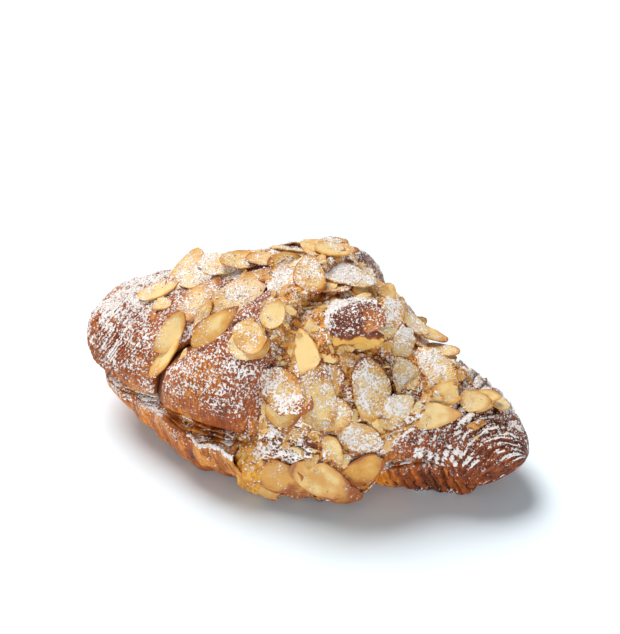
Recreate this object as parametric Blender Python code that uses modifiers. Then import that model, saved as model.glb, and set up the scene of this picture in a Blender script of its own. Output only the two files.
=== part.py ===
"""An almond croissant, split along its length, filled with frangipane, closed and topped.

The solids are the lower half, the frangipane filling that runs through the split, the upper half
with the almond flakes stuck to its crust, and the frangipane spread on top with its own flakes.
Metres, +Z up. X runs along the croissant, the front is -Y, and it rests on Z = 0.
"""

import math

import bmesh
import bpy
import numpy as np
from mathutils import Matrix, Vector
from mathutils.bvhtree import BVHTree

MM = 0.001
GAP = 0.35  # mm left between pieces that touch
ROOM = 0.3  # mm left round a piece when others are cut to clear it

# ---- Driving sizes, in millimetres. Each row of a station table gives the place along X, the
# sideways shift of the middle line, the half width to the front and to the back, and two heights.
UPPER_STATIONS = (
    # x, shift, front, back, crown, keel
    (-81, -6, 13, 15, 38, 20),
    (-68, -5, 19, 21, 42, 15),
    (-54, -3, 27, 30, 47, 9),
    (-38, -1, 34, 38, 52, 4),
    (-18, 0, 38, 44, 58, 1),
    (4, 0, 39, 43, 61, 0),
    (24, 0, 35, 38, 55, 0),
    (38, -1, 26, 29, 44, 0),
    (54, -2, 18, 22, 37, 1),
    (68, -3, 14, 17, 31, 2.5),
    (82, -3, 10, 12, 26, 9),
)
LOWER_STATIONS = (
    # x, shift, front, back, rim, keel
    (-73, -7, 13, 14, 19, 14.5),
    (-60, -4, 23, 25, 20, 9),
    (-45, -2, 32, 33, 22, 4),
    (-26, -1, 40.5, 39, 20.5, 0.6),
    (-12, 0, 41.5, 41, 21, 0),
    (4, 0, 38, 41, 18, 0),
    (20, 0, 32.5, 37, 15, 0),
    (36, -1, 25.5, 29, 14.5, 0),
    (46, -2, 19.5, 24, 17, 0),
    (56, -2, 15.5, 20, 17, 0),
    (62, -2.5, 14, 17, 17, 0),
    (68, -3, 9, 12, 15, 3),
)
FILLING_STATIONS = (
    # x, thickness
    (-62, 2.0),
    (-40, 4.0),
    (0, 5.0),
    (36, 4.0),
    (53, 2.0),
)
UPPER_AROUND, UPPER_ARC = 29, 24  # points round a section, and those of them on the crust
LOWER_AROUND, LOWER_ARC, LOWER_SECTIONS = 26, 19, 38
FILLING_AROUND, FILLING_SECTIONS = 18, 22
TOPPING_ALONG, TOPPING_DOWN = 18, 28
FAR = 90  # mm from which rays are cast
LEFT_CAP, RIGHT_CAP = 11, 17  # length over which the upper half's ends round off
LOWER_LEFT_CAP, LOWER_RIGHT_CAP, FILLING_CAP = 8, 2.5, 9
FILLING_INSET = 3.5  # from the lower half's rim
STEEPEST = 0.8  # how far round the keel a section closes, as a share of its half height
WAIST_SHARE = 0.42  # height of the widest line of the whole outline
WALL_ROUNDING, FLOOR_ROUNDING = 0.3, 0.55  # powers that square the lower half's section

# ---- Rolls of dough. An edge crosses the crown at its place and runs slantwise over the crust: it
# moves by its lead, in millimetres for each radian round to the front or to the back.
ROLL_EDGES = (
    # place on the crown, lead to the front, lead to the back, furthest lean to the front
    (-81, 0, 0, 1.6),
    (-72, 3, 2, 1.6),
    (-54, 14, 8, 1.1),
    (-13, 30, 14, 1.03),
    (1, 6.5, 9, 1.6),
    (45, 13, 3, 1.6),
    (58, 10, 1, 1.6),
    (73, 3, 0, 1.6),
    (82, 0, 0, 1.6),
)
ROLLS = (
    # first edge, last edge, how far its edges stand out, how far its middle bulges beyond that
    (0, 2, 0.0, 0.8),
    (2, 3, -0.3, 2.4),
    (3, 4, 2.2, 3.2),
    (4, 5, -3.4, 1.4),
    (5, 8, 0.2, 1.2),
)
CREVICES = (
    # edge, depth, half width
    (2, 1.4, 2.0),
    (3, 4.0, 2.2),
    (5, 1.2, 1.8),
)
FLAT_ANGLE = math.radians(2.5)  # faces closer in direction than this are made one
MERGED = 0.001  # mm between points that are made one
STEP = 0.35  # half the length over which a roll's edge steps
STEPPED_EDGES = (2, 3, 4, 5)
SPANS = ((2, 3, 10), (3, 4, 5), (4, 5, 12))  # first edge, last edge, sections between them
SPAN_MARGIN, TIP_MARGIN, END_CROWDING = 2.2, 0.6, 0.25
LEAF_PITCH, LEAF_DEPTH = 5.2, 0.9  # edges of the leaves that wrap round both tips
LEFT_LEAVES_END, RIGHT_LEAVES_START = -56, 47
LUMP = 0.45  # unevenness of the crust
BACK_FADE = 0.12  # share of the way round in which all of it rises from the cut behind

# ---- The lower half's front wall
UNDERCUT_X, UNDERCUT_HALF_LENGTH, UNDERCUT = 34, 9, 0.3  # where it curves in under the rim
NOTCH_X, NOTCH_HALF_LENGTH, NOTCH_DEPTH = -5.5, 6.0, 8.0  # where the crust has torn away
FLUTE_PITCH, FLUTE_DEPTH = 9.0, 0.8
RIM_FLARE, FRILL_PITCH, FRILL_DEPTH = 1.6, 13.0, 0.8
OOZE_CENTRE, OOZE_HALF_SIZE = (-5.2, -37.5, 12.2), (6.0, 7.0, 11.2)

# ---- Frangipane spread on top: from the edge of the proud roll to the right arm, over the crown
# to the back, and down the front as far as the floor's clearance.
TOPPING_LEFT, TOPPING_RIGHT = 1.2, 60.0
TOPPING_BACK_LEAN = 0.75
TOPPING_THICKNESS, TOPPING_SUNK, TOPPING_SHELL = 2.2, 1.6, 4.5
TOPPING_CLEAR = 0.8  # how thick the spread has to be for a flake to lie on it
TOPPING_LUMP, TOPPING_LUMP_PITCH = 0.6, 15.0
DRAPE_SHARE = 0.3  # part of the spread's length that hangs below the cut
DRAPE_LEFT, DRAPE_RIGHT = 0.09, 0.86  # shares of the spread's width between which it hangs
DRAPE_BOTTOM, DRAPE_SLOPE, DRAPE_TUCK, DRAPE_RAISE = 4.0, 1.6, 3.0, 9.0
NUB_PLACE, NUB_HALF_SIZE, NUB_TURN, NUB_RISE = (20, -7), (11.0, 7.5, 7.5), 25, 1.5

# ---- Almond flakes
FLAKE_SIDES, FLAKE_THICKNESS, FLAKE_POINT = 8, 1.0, 0.24
FLAKE_CUP_LONG, FLAKE_CUP_WIDE = 0.045, 0.03  # how far the ends and the sides curl up
FLAKE_BED = 0.2  # height of its middle above what it lies on, as a share of its thickness
FLAKE_FOOTING = 3  # mm round its middle over which the surface under it is felt
TOP_FLAKES = (
    # x, y, turn, length, width, lift, roll
    (-55, -4, 20, 16, 10, 4, 0),
    (-51, -11, -8, 9, 6, 0, 0),
    (-33, 14, 17, 20, 11, 2, 10),
    (-47, 5, 75, 20, 12, 20, 18),
    (-31, 6, 21, 18, 10, 6, 14),
    (-37, -10, 62, 20, 11, 8, 8),
    (-42, -27, 62, 17, 7, 4, -14),
    (-42, -22, 66, 17, 8, 8, 16),
    (-24, -24, 30, 21, 9, 2, 52),
    (-22, -6, 62, 25, 14, 4, 14),
    (-16, 18, 50, 19, 11, 2, 8),
    (-15, 25, 24, 20, 9, 0, 0),
    (-11, -27, 5, 15, 12, 0, 0),
    (-11, -25, 60, 13, 13, 4, 0),
    (-6, -17, 86, 13, 9, 8, 0),
    (-10, 5, 16, 19, 10, 0, 10),
    (-2, 18, 74, 15, 11, -4, 0),
    (-7, 11, 62, 12, 8, 4, 0),
    (6, 19, 60, 14, 8, 0, 0),
    (16, 22, 88, 12, 6, 6, 0),
    (14, 12, 70, 10, 5, 8, 20),
    (3, 6, 165, 18, 14, 0, 12),
    (8, 18, 45, 24, 12, 2, 6),
    (24, 22, 118, 16, 9, 6, 0),
    (7, -20, 118, 20, 11, 12, 0),
    (4, -36, 140, 16, 14, 0, 0),
    (4, -33, 140, 22, 15, 6, 8),
    (16, -28, 70, 17, 13, 2, 0),
    (20, -32, 10, 19, 13, 0, 0),
    (30, -20, 137, 22, 15, 4, 0),
    (30, -6, 111, 12, 9, 6, 0),
    (33, 3, 100, 15, 9, 14, 0),
    (39, -9, 149, 16, 12, 4, 0),
    (33, 13, 10, 11, 8, 0, 0),
    (47, -1, -23, 19, 11, 6, 12),
    (42, 9, 40, 17, 9, 4, 0),
    (38, 11, 34, 16, 9, 0, 0),
    (53, -8, 45, 15, 9, 20, 20),
    (47, -20, 48, 12, 8, 4, 0),
    (51, -15, 25, 19, 9, 6, 18),
    (62, -4, 30, 13, 8, 8, 20),
    (68, 3, 70, 13, 9, 4, -10),
)
DRAPE_FLAKES = (
    # x, z, turn, length, width, lift, roll
    (13, 9, 8, 14, 8, 0, 0),
    (1, 6, -10, 13, 6, 0, -30),
    (7, 14, 12, 20, 13, 4, -10),
    (31, 30, -5, 18, 11, 0, 0),
    (23, 28, -65, 13, 6, 0, 20),
    (26, 10, -16, 17, 9, 0, -10),
    (21, 16, -28, 22, 14, 4, -10),
    (32, 19, 52, 20, 13, 4, -8),
)
BACK_FLAKES, BACK_SEED = 5, 7
BACK_X = (-44, 16)
BACK_SHARES = (0.62, 0.86)  # of the half width behind


# ---- Curves


def smooth_curve(xs, values):
    """A function through the points that never overshoots them."""
    xs, values = np.array(xs, float), np.array(values, float)
    slope = np.diff(values) / np.diff(xs)
    before, after = slope[:-1], slope[1:]
    same_way = before * after > 0
    bend = np.where(same_way, 2 * before * after / np.where(same_way, before + after, 1), 0)
    tangent = np.concatenate([slope[:1], bend, slope[-1:]])

    def value(x):
        x = np.clip(x, xs[0], xs[-1])
        i = np.clip(np.searchsorted(xs, x) - 1, 0, len(xs) - 2)
        width = xs[i + 1] - xs[i]
        t = (x - xs[i]) / width
        start = values[i] * (1 + 2 * t) * (1 - t) ** 2
        end = values[i + 1] * t * t * (3 - 2 * t)
        return start + end + width * t * (1 - t) * (tangent[i] * (1 - t) - tangent[i + 1] * t)

    return value


def curves_of(stations):
    """One smooth function of x for each column after the first."""
    columns = np.array(stations, float).T
    return [smooth_curve(columns[0], column) for column in columns[1:]]


def ramp(x, low, high):
    """0 below low, 1 above high, smooth between."""
    t = np.clip((x - low) / (high - low), 0, 1)
    return t * t * (3 - 2 * t)


def end_rounding(x, stations, left_length, right_length):
    """1 along the body, falling to 0 at both ends as a quarter of an ellipse does."""
    left = np.clip(1 - (x - stations[0][0]) / left_length, 0, 1)
    right = np.clip(1 - (stations[-1][0] - x) / right_length, 0, 1)
    return np.sqrt((1 - left**2.4) * (1 - right * right))


def signed_power(value, power):
    """The power of the size, with the sign kept."""
    return np.sign(value) * np.abs(value) ** power


shift_of, front_of, back_of, crown_of, keel_of = curves_of(UPPER_STATIONS)
low_shift_of, low_front_of, low_back_of, rim_of, low_keel_of = curves_of(LOWER_STATIONS)
(filling_of,) = curves_of(FILLING_STATIONS)


# ---- Upper half


def filling_reach(x):
    """1 where the filling lies, 0 past its ends."""
    left, right = FILLING_STATIONS[0][0], FILLING_STATIONS[-1][0]
    return ramp(x, left - 5, left) * (1 - ramp(x, right, right + 5))


def underside_height(x):
    """Height of the upper half's cut face over the filling, and of its keel past the cut's ends."""
    above = rim_of(x) + 2 * GAP + filling_of(x) * filling_reach(x)
    left = ramp(x, LOWER_STATIONS[0][0] - 6, LOWER_STATIONS[0][0])
    right = 1 - ramp(x, LOWER_STATIONS[-1][0] - 12, LOWER_STATIONS[-1][0] - 2)
    return keel_of(x) + (above - keel_of(x)) * left * right


def sheared(place, lean):
    """x of the line that crosses the crown at place, at a lean round the crust (front negative)."""
    crown_x, front_lead, back_lead, reach = np.array(ROLL_EDGES, float).T
    front = np.interp(place, crown_x, front_lead)
    back = np.interp(place, crown_x, back_lead)
    furthest = np.interp(place, crown_x, reach)
    return place + front * np.maximum(np.minimum(lean, 0), -furthest) + back * np.maximum(lean, 0)


def roll_relief(place):
    """Outward offset of the crust for the line that crosses the crown at place."""
    relief = np.zeros_like(place)
    for first, last, level, puff in ROLLS:
        start, end = ROLL_EDGES[first][0], ROLL_EDGES[last][0]
        t = np.clip((place - start) / (end - start), 0, 1)
        inside = (place >= start) & (place < end)
        relief += np.where(inside, level + puff * (4 * t * (1 - t)) ** 0.6, 0)
    for edge, depth, half_width in CREVICES:
        relief -= depth * np.exp(-(((place - ROLL_EDGES[edge][0]) / half_width) ** 2))
    return relief + leaf_relief(place)


def leaf_relief(place):
    """Steps where the leaves of dough end one after another at both tips."""
    saw = 1 - 2 * np.abs((place / LEAF_PITCH) % 1 - 0.5)
    at_left = ramp(-place, -LEFT_LEAVES_END, 4 - LEFT_LEAVES_END)
    at_right = ramp(place, RIGHT_LEAVES_START, 4 + RIGHT_LEAVES_START)
    return LEAF_DEPTH * (saw - 0.5) * (at_left + at_right)


def lumps(x, lean):
    """Slow unevenness of the crust."""
    wave = np.sin(x / 5.3 + 2.1 * lean) * np.cos(x / 11.0 - 3.4 * lean)
    return LUMP * (wave + 0.6 * np.sin(x / 3.1 + 5.2 * lean))


def upper_outline(x, angle, relief, grow=0.0):
    """(y, z) on the crust round one section: angle 0 is the back, pi / 2 the crown, pi the front."""
    cap = end_rounding(x, UPPER_STATIONS, LEFT_CAP, RIGHT_CAP)
    crown, keel = crown_of(x), keel_of(x)
    waist = keel + WAIST_SHARE * (crown - keel)
    up, across = np.sin(angle), np.cos(angle)
    half_width = np.where(across < 0, front_of(x), back_of(x)) * cap
    half_height = np.where(up > 0, crown - waist, waist - keel) * cap
    offset = relief * cap * ramp(up, -0.15, 0.35) + grow
    normal = np.hypot(across * half_height, up * half_width) + 1e-9
    y = shift_of(x) + half_width * signed_power(across, 0.92) + offset * across * half_height / normal
    z = waist + half_height * up + offset * up * half_width / normal
    return y, z


def cut_meeting(x):
    """Angle round the section at which the crust meets the cut, and its height."""
    cap = end_rounding(x, UPPER_STATIONS, LEFT_CAP, RIGHT_CAP)
    crown, keel = crown_of(x), keel_of(x)
    waist = keel + WAIST_SHARE * (crown - keel)
    drop = underside_height(x) - waist
    radius = np.where(drop > 0, crown - waist, waist - keel) * cap + 1e-6
    share = np.clip(drop / radius, -STEEPEST, STEEPEST)
    return np.arcsin(share), waist + share * radius


def crust_point(place, turn, grow=0.0):
    """A point of the upper crust: turn runs from 0 at the cut behind to 1 at the cut in front."""
    x = sheared(place, math.pi * (0.5 - turn))
    dip, _ = cut_meeting(x)
    angle = dip + turn * (math.pi - 2 * dip)
    relief = (roll_relief(place) + lumps(x, angle - math.pi / 2)) * ramp(turn, 0.0, BACK_FADE)
    y, z = upper_outline(x, angle, relief, grow)
    return x, y, z


def upper_point(place, around, arc_share, grow=0.0):
    """A point of the upper half: the crust for around below arc_share, then back along the cut."""
    on_crust = around <= arc_share
    turn = np.where(on_crust, around / arc_share, (1 - around) / (1 - arc_share))
    crust = crust_point(place, turn, grow=grow)
    back = crust_point(place, np.zeros_like(turn), grow=grow)
    front = crust_point(place, np.ones_like(turn), grow=grow)
    x, y, z = (np.where(on_crust, c, b + turn * (f - b)) for c, b, f in zip(crust, back, front))
    straight = cut_meeting(back[0])[1] * (1 - turn) + cut_meeting(front[0])[1] * turn
    return x, y, z + np.where(on_crust, 0, cut_meeting(x)[1] - straight - grow)


def upper_places():
    """Where the upper half has sections: closer at the roll edges and twice a leaf at the tips."""
    edges = [edge[0] for edge in ROLL_EDGES]
    half_leaf = LEAF_PITCH / 2
    places = [edges[0] + TIP_MARGIN, edges[-1] - TIP_MARGIN]
    tips = ((edges[0], LEFT_LEAVES_END), (RIGHT_LEAVES_START, edges[-1] - 2 * TIP_MARGIN))
    for left, right in tips:
        first, last = math.ceil(left / half_leaf), math.ceil(right / half_leaf)
        places += [half_leaf * i for i in range(first, last)]
    for left, right, count in SPANS:
        places += list(np.linspace(edges[left] + SPAN_MARGIN, edges[right] - SPAN_MARGIN, count))
    for edge in STEPPED_EDGES:
        places += [edges[edge] - STEP, edges[edge] + STEP]
    return np.array(sorted(places))


# ---- Lower half and filling


def notch_at(x):
    """1 in the tear of the lower half's front crust, 0 away from it."""
    return 1 - ramp(np.abs(x - NOTCH_X), NOTCH_HALF_LENGTH - 1.5, NOTCH_HALF_LENGTH + 1.0)


def lower_point(x, around, arc_share, grow=0.0):
    """A point of the lower half: the crust for around below arc_share, then back along the cut."""
    cap = end_rounding(x, LOWER_STATIONS, LOWER_LEFT_CAP, LOWER_RIGHT_CAP)
    rim, keel = rim_of(x), low_keel_of(x)
    middle = (rim + keel) / 2
    rim, keel = middle + (rim - middle) * cap, middle + (keel - middle) * cap
    on_crust = around <= arc_share
    turn = np.where(on_crust, around / arc_share, (1 - around) / (1 - arc_share))
    across, down = np.cos(turn * math.pi), np.sin(turn * math.pi)
    rounder = UNDERCUT * np.exp(-(((x - UNDERCUT_X) / UNDERCUT_HALF_LENGTH) ** 2))
    front = low_front_of(x) - NOTCH_DEPTH * notch_at(x)
    half_width = np.where(turn > 0.5, front, low_back_of(x)) * cap + grow
    frill = RIM_FLARE + FRILL_DEPTH * np.sin(2 * math.pi * x / FRILL_PITCH + 1.2 * np.sin(x / 4.0))
    flutes = FLUTE_DEPTH * np.sin(2 * math.pi * x / FLUTE_PITCH) * ramp(down, 0.1, 0.4)
    wall = half_width + cap * (flutes * (np.abs(across) > 0.3) + frill * (1 - ramp(down, 0.0, 0.3)))
    rim_line = half_width + cap * frill
    y_crust = low_shift_of(x) + wall * signed_power(across, WALL_ROUNDING + rounder)
    z_crust = rim - (rim - keel) * np.minimum(1, 1.12 * down) ** (FLOOR_ROUNDING + rounder)
    y = np.where(on_crust, y_crust, low_shift_of(x) + rim_line * (1 - 2 * turn))
    z = np.where(on_crust, z_crust - grow * ramp(down, 0, 0.5), rim + grow)
    return x, y, z


def filling_point(x, around, grow=0.0):
    """A point of the filling, a slab with rounded edges that follows the cut."""
    cap = end_rounding(x, FILLING_STATIONS, FILLING_CAP, FILLING_CAP)
    across, up = np.cos(2 * math.pi * around), np.sin(2 * math.pi * around)
    front = low_front_of(x) - FILLING_INSET + (FILLING_INSET - 2) * notch_at(x)
    half_width = np.where(across < 0, front, low_back_of(x) - FILLING_INSET) * (0.2 + 0.8 * cap) + grow
    thickness = filling_of(x) * filling_reach(x)
    y = low_shift_of(x) + half_width * signed_power(across, 0.35)
    z = rim_of(x) + GAP + thickness / 2 + (thickness / 2 * cap + grow) * signed_power(up, 0.6)
    return x, y, z


# ---- Mesh building


def linked(collection, name, bm):
    """An object of this mesh in the collection, in triangles that all point out."""
    bmesh.ops.triangulate(bm, faces=bm.faces)
    bm.normal_update()
    bmesh.ops.recalc_face_normals(bm, faces=bm.faces)
    mesh = bpy.data.meshes.new(name)
    bm.to_mesh(mesh)
    bm.free()
    obj = bpy.data.objects.new(name, mesh)
    collection.objects.link(obj)
    if collection.hide_render:
        obj.hide_render = True
        obj.display_type = "WIRE"
    return obj


def loft(collection, name, places, around_count, point_of, ends):
    """A closed body shaped from a ball with its poles at the ends: point_of gives each section."""
    bm = bmesh.new()
    bmesh.ops.create_uvsphere(bm, u_segments=around_count, v_segments=len(places) + 1, radius=1)
    co = np.array([v.co for v in bm.verts])
    ring = np.round(np.arccos(np.clip(-co[:, 2], -1, 1)) / math.pi * (len(places) + 1)).astype(int)
    around = np.round(np.arctan2(co[:, 1], co[:, 0]) / (2 * math.pi) * around_count) % around_count
    place = np.concatenate([[ends[0]], places, [ends[1]]])[ring]
    points = np.stack(point_of(place, around / around_count), axis=1) * MM
    for vertex, point in zip(bm.verts, points):
        vertex.co = point
    return linked(collection, name, bm)


def even_places(stations, count):
    """Sections from end to end, a little closer at both ends."""
    t = np.arange(1, count + 1) / (count + 1)
    eased = (1 - END_CROWDING) * t + END_CROWDING * (1 - np.cos(math.pi * t)) / 2
    return stations[0][0] + (stations[-1][0] - stations[0][0]) * eased


def ball(collection, name, centre, half_size, turn=0.0):
    """A rounded lump."""
    bm = bmesh.new()
    place = Matrix.Translation(Vector(centre) * MM) @ Matrix.Rotation(math.radians(turn), 4, "Z")
    shape = place @ Matrix.Diagonal(Vector([*half_size, 1 / MM]) * MM)
    bmesh.ops.create_icosphere(bm, subdivisions=2, radius=1, matrix=shape)
    return linked(collection, name, bm)


def topping_point(along, down):
    """A point of the spread's outer face, for shares along it and from its back edge to its foot."""
    place = TOPPING_LEFT + along * (TOPPING_RIGHT - TOPPING_LEFT)
    back_turn = 0.5 - TOPPING_BACK_LEAN / math.pi
    over = np.clip(down / (1 - DRAPE_SHARE), 0, 1)
    left_limit = DRAPE_LEFT * ramp(down, 0.5, 1 - DRAPE_SHARE)
    right_limit = 1 - (1 - DRAPE_RIGHT) * ramp(down, 0.5, 1 - DRAPE_SHARE / 2)
    edge = ramp(along, left_limit, left_limit + 0.05) * ramp(down, 0.0, 0.12)
    edge = edge * (1 - ramp(along, right_limit - 0.1, right_limit))
    wave = np.sin(2 * math.pi * place / TOPPING_LUMP_PITCH + 3 * down) * np.sin(14 * down + place / 5)
    past = ramp(along, right_limit - 0.02, right_limit + 0.06) * ramp(down, 0.5, 0.75)
    sunk = TOPPING_SUNK + DRAPE_TUCK * past
    thick = (TOPPING_THICKNESS + TOPPING_LUMP * wave + sunk) * edge - sunk
    x, y, z = crust_point(place, back_turn + over * (1 - back_turn), grow=thick)
    hang = np.clip((down - (1 - DRAPE_SHARE)) / DRAPE_SHARE, 0, 1)
    foot = thick * (1 - 0.6 * ramp(hang, 0.8, 1.0))
    foot = np.where(foot < 0, 2 * DRAPE_TUCK * foot, foot)
    wall_y = low_shift_of(x) - low_front_of(x) - RIM_FLARE / 2 + DRAPE_SLOPE * hang - foot
    y = y + (np.minimum(y, wall_y) - y) * ramp(hang, 0.0, 0.25)
    z = z + (DRAPE_BOTTOM + DRAPE_RAISE * past - z) * hang
    return x, y, z


def topping_shell(collection, name):
    """The spread as a thick sheet: the crust's own shape inside it is cut away afterwards."""
    bm = bmesh.new()
    bmesh.ops.create_grid(bm, x_segments=TOPPING_ALONG, y_segments=TOPPING_DOWN, size=0.5)
    co = np.array([v.co for v in bm.verts]) + 0.5
    for vertex, point in zip(bm.verts, np.stack(topping_point(co[:, 0], co[:, 1]), axis=1) * MM):
        vertex.co = point
    obj = linked(collection, name, bm)
    outward = obj.data.polygons[len(obj.data.polygons) // 2].normal.z > 0
    sheet = obj.modifiers.new("sheet", "SOLIDIFY")
    sheet.thickness = TOPPING_SHELL * MM
    sheet.offset = -1 if outward else 1
    apply_modifiers(obj)
    return obj


# ---- Almond flakes


def flake(collection, name, frame, length, width, grow=0.0):
    """One sliced almond: a thin oval, blunt at one end and pointed at the other, slightly cupped."""
    bm = bmesh.new()
    bmesh.ops.create_circle(bm, cap_ends=True, cap_tris=True, segments=FLAKE_SIDES, radius=1)
    faces = bmesh.ops.extrude_face_region(bm, geom=list(bm.faces))["geom"]
    for vertex in (v for v in faces if isinstance(v, bmesh.types.BMVert)):
        vertex.co.z = 1
    for vertex in bm.verts:
        u, v, w = vertex.co
        x = u * (length / 2 + grow)
        y = v * (width / 2 * (1 - FLAKE_POINT * u) + grow)
        cup = FLAKE_CUP_LONG * length * u * u + FLAKE_CUP_WIDE * width * v * v
        z = (w - 0.5) * (FLAKE_THICKNESS + 2 * grow) + cup
        vertex.co = frame @ (Vector((x, y, z)) * MM)
    return linked(collection, name, bm)


def tree_of(objects):
    """The joined surface of these objects, for ray casts."""
    points, faces = [], []
    for obj in objects:
        first = len(points)
        points += [v.co.copy() for v in obj.data.vertices]
        faces += [[first + i for i in face.vertices] for face in obj.data.polygons]
    return BVHTree.FromPolygons(points, faces)


def casts(row, from_front, spread):
    """Starts and direction of five rays at a flake's place, seen from above or from the front."""
    for a, b in ((0, 0), (1, 0), (-1, 0), (0, 1), (0, -1)):
        across, along = row[0] + spread * a, row[1] + spread * b
        if from_front:
            yield Vector((across, -FAR, along)) * MM, Vector((0, 1, 0))
        else:
            yield Vector((across, along, FAR)) * MM, Vector((0, 0, -1))


def resting_frame(tree, row, from_front):
    """Where a flake comes to lie: its plane is the mean of the surface under it."""
    _, _, turn, _, _, lift, roll = row
    c, s = math.cos(math.radians(turn)), math.sin(math.radians(turn))
    long_way = Vector((c, 0, s) if from_front else (c, s, 0))
    normals, middle = Vector(), None
    for origin, direction in casts(row, from_front, FLAKE_FOOTING):
        hit, normal, _, _ = tree.ray_cast(origin, direction)
        if hit is None:
            continue
        normals += normal if normal.dot(direction) < 0 else -normal
        middle = middle or hit
    up = normals.normalized()
    long_axis = (long_way - up * long_way.dot(up)).normalized()
    turned = Matrix((long_axis, up.cross(long_axis), up)).transposed().to_4x4()
    tilt = Matrix.Rotation(-math.radians(lift), 4, "Y") @ Matrix.Rotation(math.radians(roll), 4, "X")
    return Matrix.Translation(middle + up * FLAKE_BED * FLAKE_THICKNESS * MM) @ turned @ tilt


def lay_flakes(collection, prefix, rows, ground, from_front=False):
    """Lays the flakes one after another, each on what lies there already, and returns their frames."""
    under, frames = list(ground), []
    for number, row in enumerate(rows):
        frames.append(resting_frame(tree_of(under), row, from_front))
        under.append(flake(collection, f"{prefix}_{number:02d}", frames[-1], row[3], row[4]))
    return frames


def lies_on(tree, other, row):
    """True where the first surface stands clear of the other one under most of a flake."""
    wins = 0
    for origin, direction in casts(row, False, FLAKE_FOOTING + 1):
        mine, theirs = (t.ray_cast(origin, direction)[3] for t in (tree, other))
        wins += mine is not None and (theirs is None or mine < theirs - TOPPING_CLEAR * MM)
    return wins >= 4


def back_rows():
    """Flakes on the side that faces away, spread evenly with a seeded scatter."""
    draw = np.random.default_rng(BACK_SEED)
    rows = []
    for i in range(BACK_FLAKES):
        along = (i + 0.5) / BACK_FLAKES
        x = BACK_X[0] + along * (BACK_X[1] - BACK_X[0])
        share = BACK_SHARES[0] + (BACK_SHARES[1] - BACK_SHARES[0]) * (i % 3) / 2
        y = float(shift_of(x) + share * back_of(x))
        rows.append((x, y, draw.uniform(0, 180), draw.uniform(15, 22), draw.uniform(9, 13), 3, 0))
    return rows


# ---- Joining


def apply_modifiers(obj):
    """Makes the shape that the modifiers give the object's own mesh."""
    bpy.ops.object.select_all(action="DESELECT")
    obj.select_set(True)
    bpy.context.view_layer.objects.active = obj
    for modifier in list(obj.modifiers):
        bpy.ops.object.modifier_apply(modifier=modifier.name)


def combine(obj, collection, operation):
    """Joins the collection's objects to obj, or cuts them from it, and removes them."""
    boolean = obj.modifiers.new(operation.lower(), "BOOLEAN")
    boolean.operation = operation
    boolean.solver = "EXACT"
    boolean.operand_type = "COLLECTION"
    boolean.collection = collection
    apply_modifiers(obj)
    for other in list(collection.objects):
        bpy.data.objects.remove(other, do_unlink=True)
    bpy.data.collections.remove(collection)


def tidy_mesh(obj):
    """Merges the flat slivers that joining leaves, and drops loose scraps and any sealed hollow."""
    bm = bmesh.new()
    bm.from_mesh(obj.data)
    bmesh.ops.remove_doubles(bm, verts=bm.verts, dist=MERGED * MM)
    bmesh.ops.dissolve_limit(bm, angle_limit=FLAT_ANGLE, verts=bm.verts, edges=bm.edges)
    bmesh.ops.triangulate(bm, faces=bm.faces)
    islands, left = [], set(bm.verts)
    while left:
        island, todo = set(), [left.pop()]
        while todo:
            vertex = todo.pop()
            island.add(vertex)
            for edge in vertex.link_edges:
                other = edge.other_vert(vertex)
                if other in left:
                    left.discard(other)
                    todo.append(other)
        islands.append(island)
    largest = max(islands, key=len)
    bmesh.ops.delete(bm, geom=[v for v in bm.verts if v not in largest], context="VERTS")
    bmesh.ops.delete(bm, geom=[e for e in bm.edges if not e.link_faces], context="EDGES")
    bm.to_mesh(obj.data)
    bm.free()


def new_collection(name, helper=False):
    """A collection linked to the scene."""
    collection = bpy.data.collections.new(name)
    bpy.context.scene.collection.children.link(collection)
    collection.hide_render = helper
    return collection


def finish(obj, colour, roughness):
    """The sub-part's own material."""
    material = bpy.data.materials.new(obj.name)
    material.use_nodes = True
    principled = material.node_tree.nodes["Principled BSDF"]
    principled.inputs["Base Color"].default_value = (*colour, 1)
    principled.inputs["Roughness"].default_value = roughness
    principled.inputs["Metallic"].default_value = 0
    obj.data.materials.clear()
    obj.data.materials.append(material)
    for face in obj.data.polygons:
        face.material_index = 0


def clear_scene():
    """Removes whatever the scene holds."""
    for obj in list(bpy.data.objects):
        bpy.data.objects.remove(obj, do_unlink=True)


def upper_body(collection, name, grow=0.0):
    """The upper half without its flakes."""
    return loft(
        collection,
        name,
        upper_places(),
        UPPER_AROUND,
        lambda x, around: upper_point(x, around, UPPER_ARC / UPPER_AROUND, grow),
        (UPPER_STATIONS[0][0] - grow, UPPER_STATIONS[-1][0] + grow),
    )


def lower_body(collection, name, grow=0.0):
    """The lower half."""
    return loft(
        collection,
        name,
        even_places(LOWER_STATIONS, LOWER_SECTIONS),
        LOWER_AROUND,
        lambda x, around: lower_point(x, around, LOWER_ARC / LOWER_AROUND, grow),
        (LOWER_STATIONS[0][0] - grow, LOWER_STATIONS[-1][0] + grow),
    )


def filling_slab(collection, name, grow=0.0):
    """The filling inside the cut."""
    return loft(
        collection,
        name,
        even_places(FILLING_STATIONS, FILLING_SECTIONS),
        FILLING_AROUND,
        lambda x, around: filling_point(x, around, grow),
        (FILLING_STATIONS[0][0], FILLING_STATIONS[-1][0]),
    )


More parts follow.
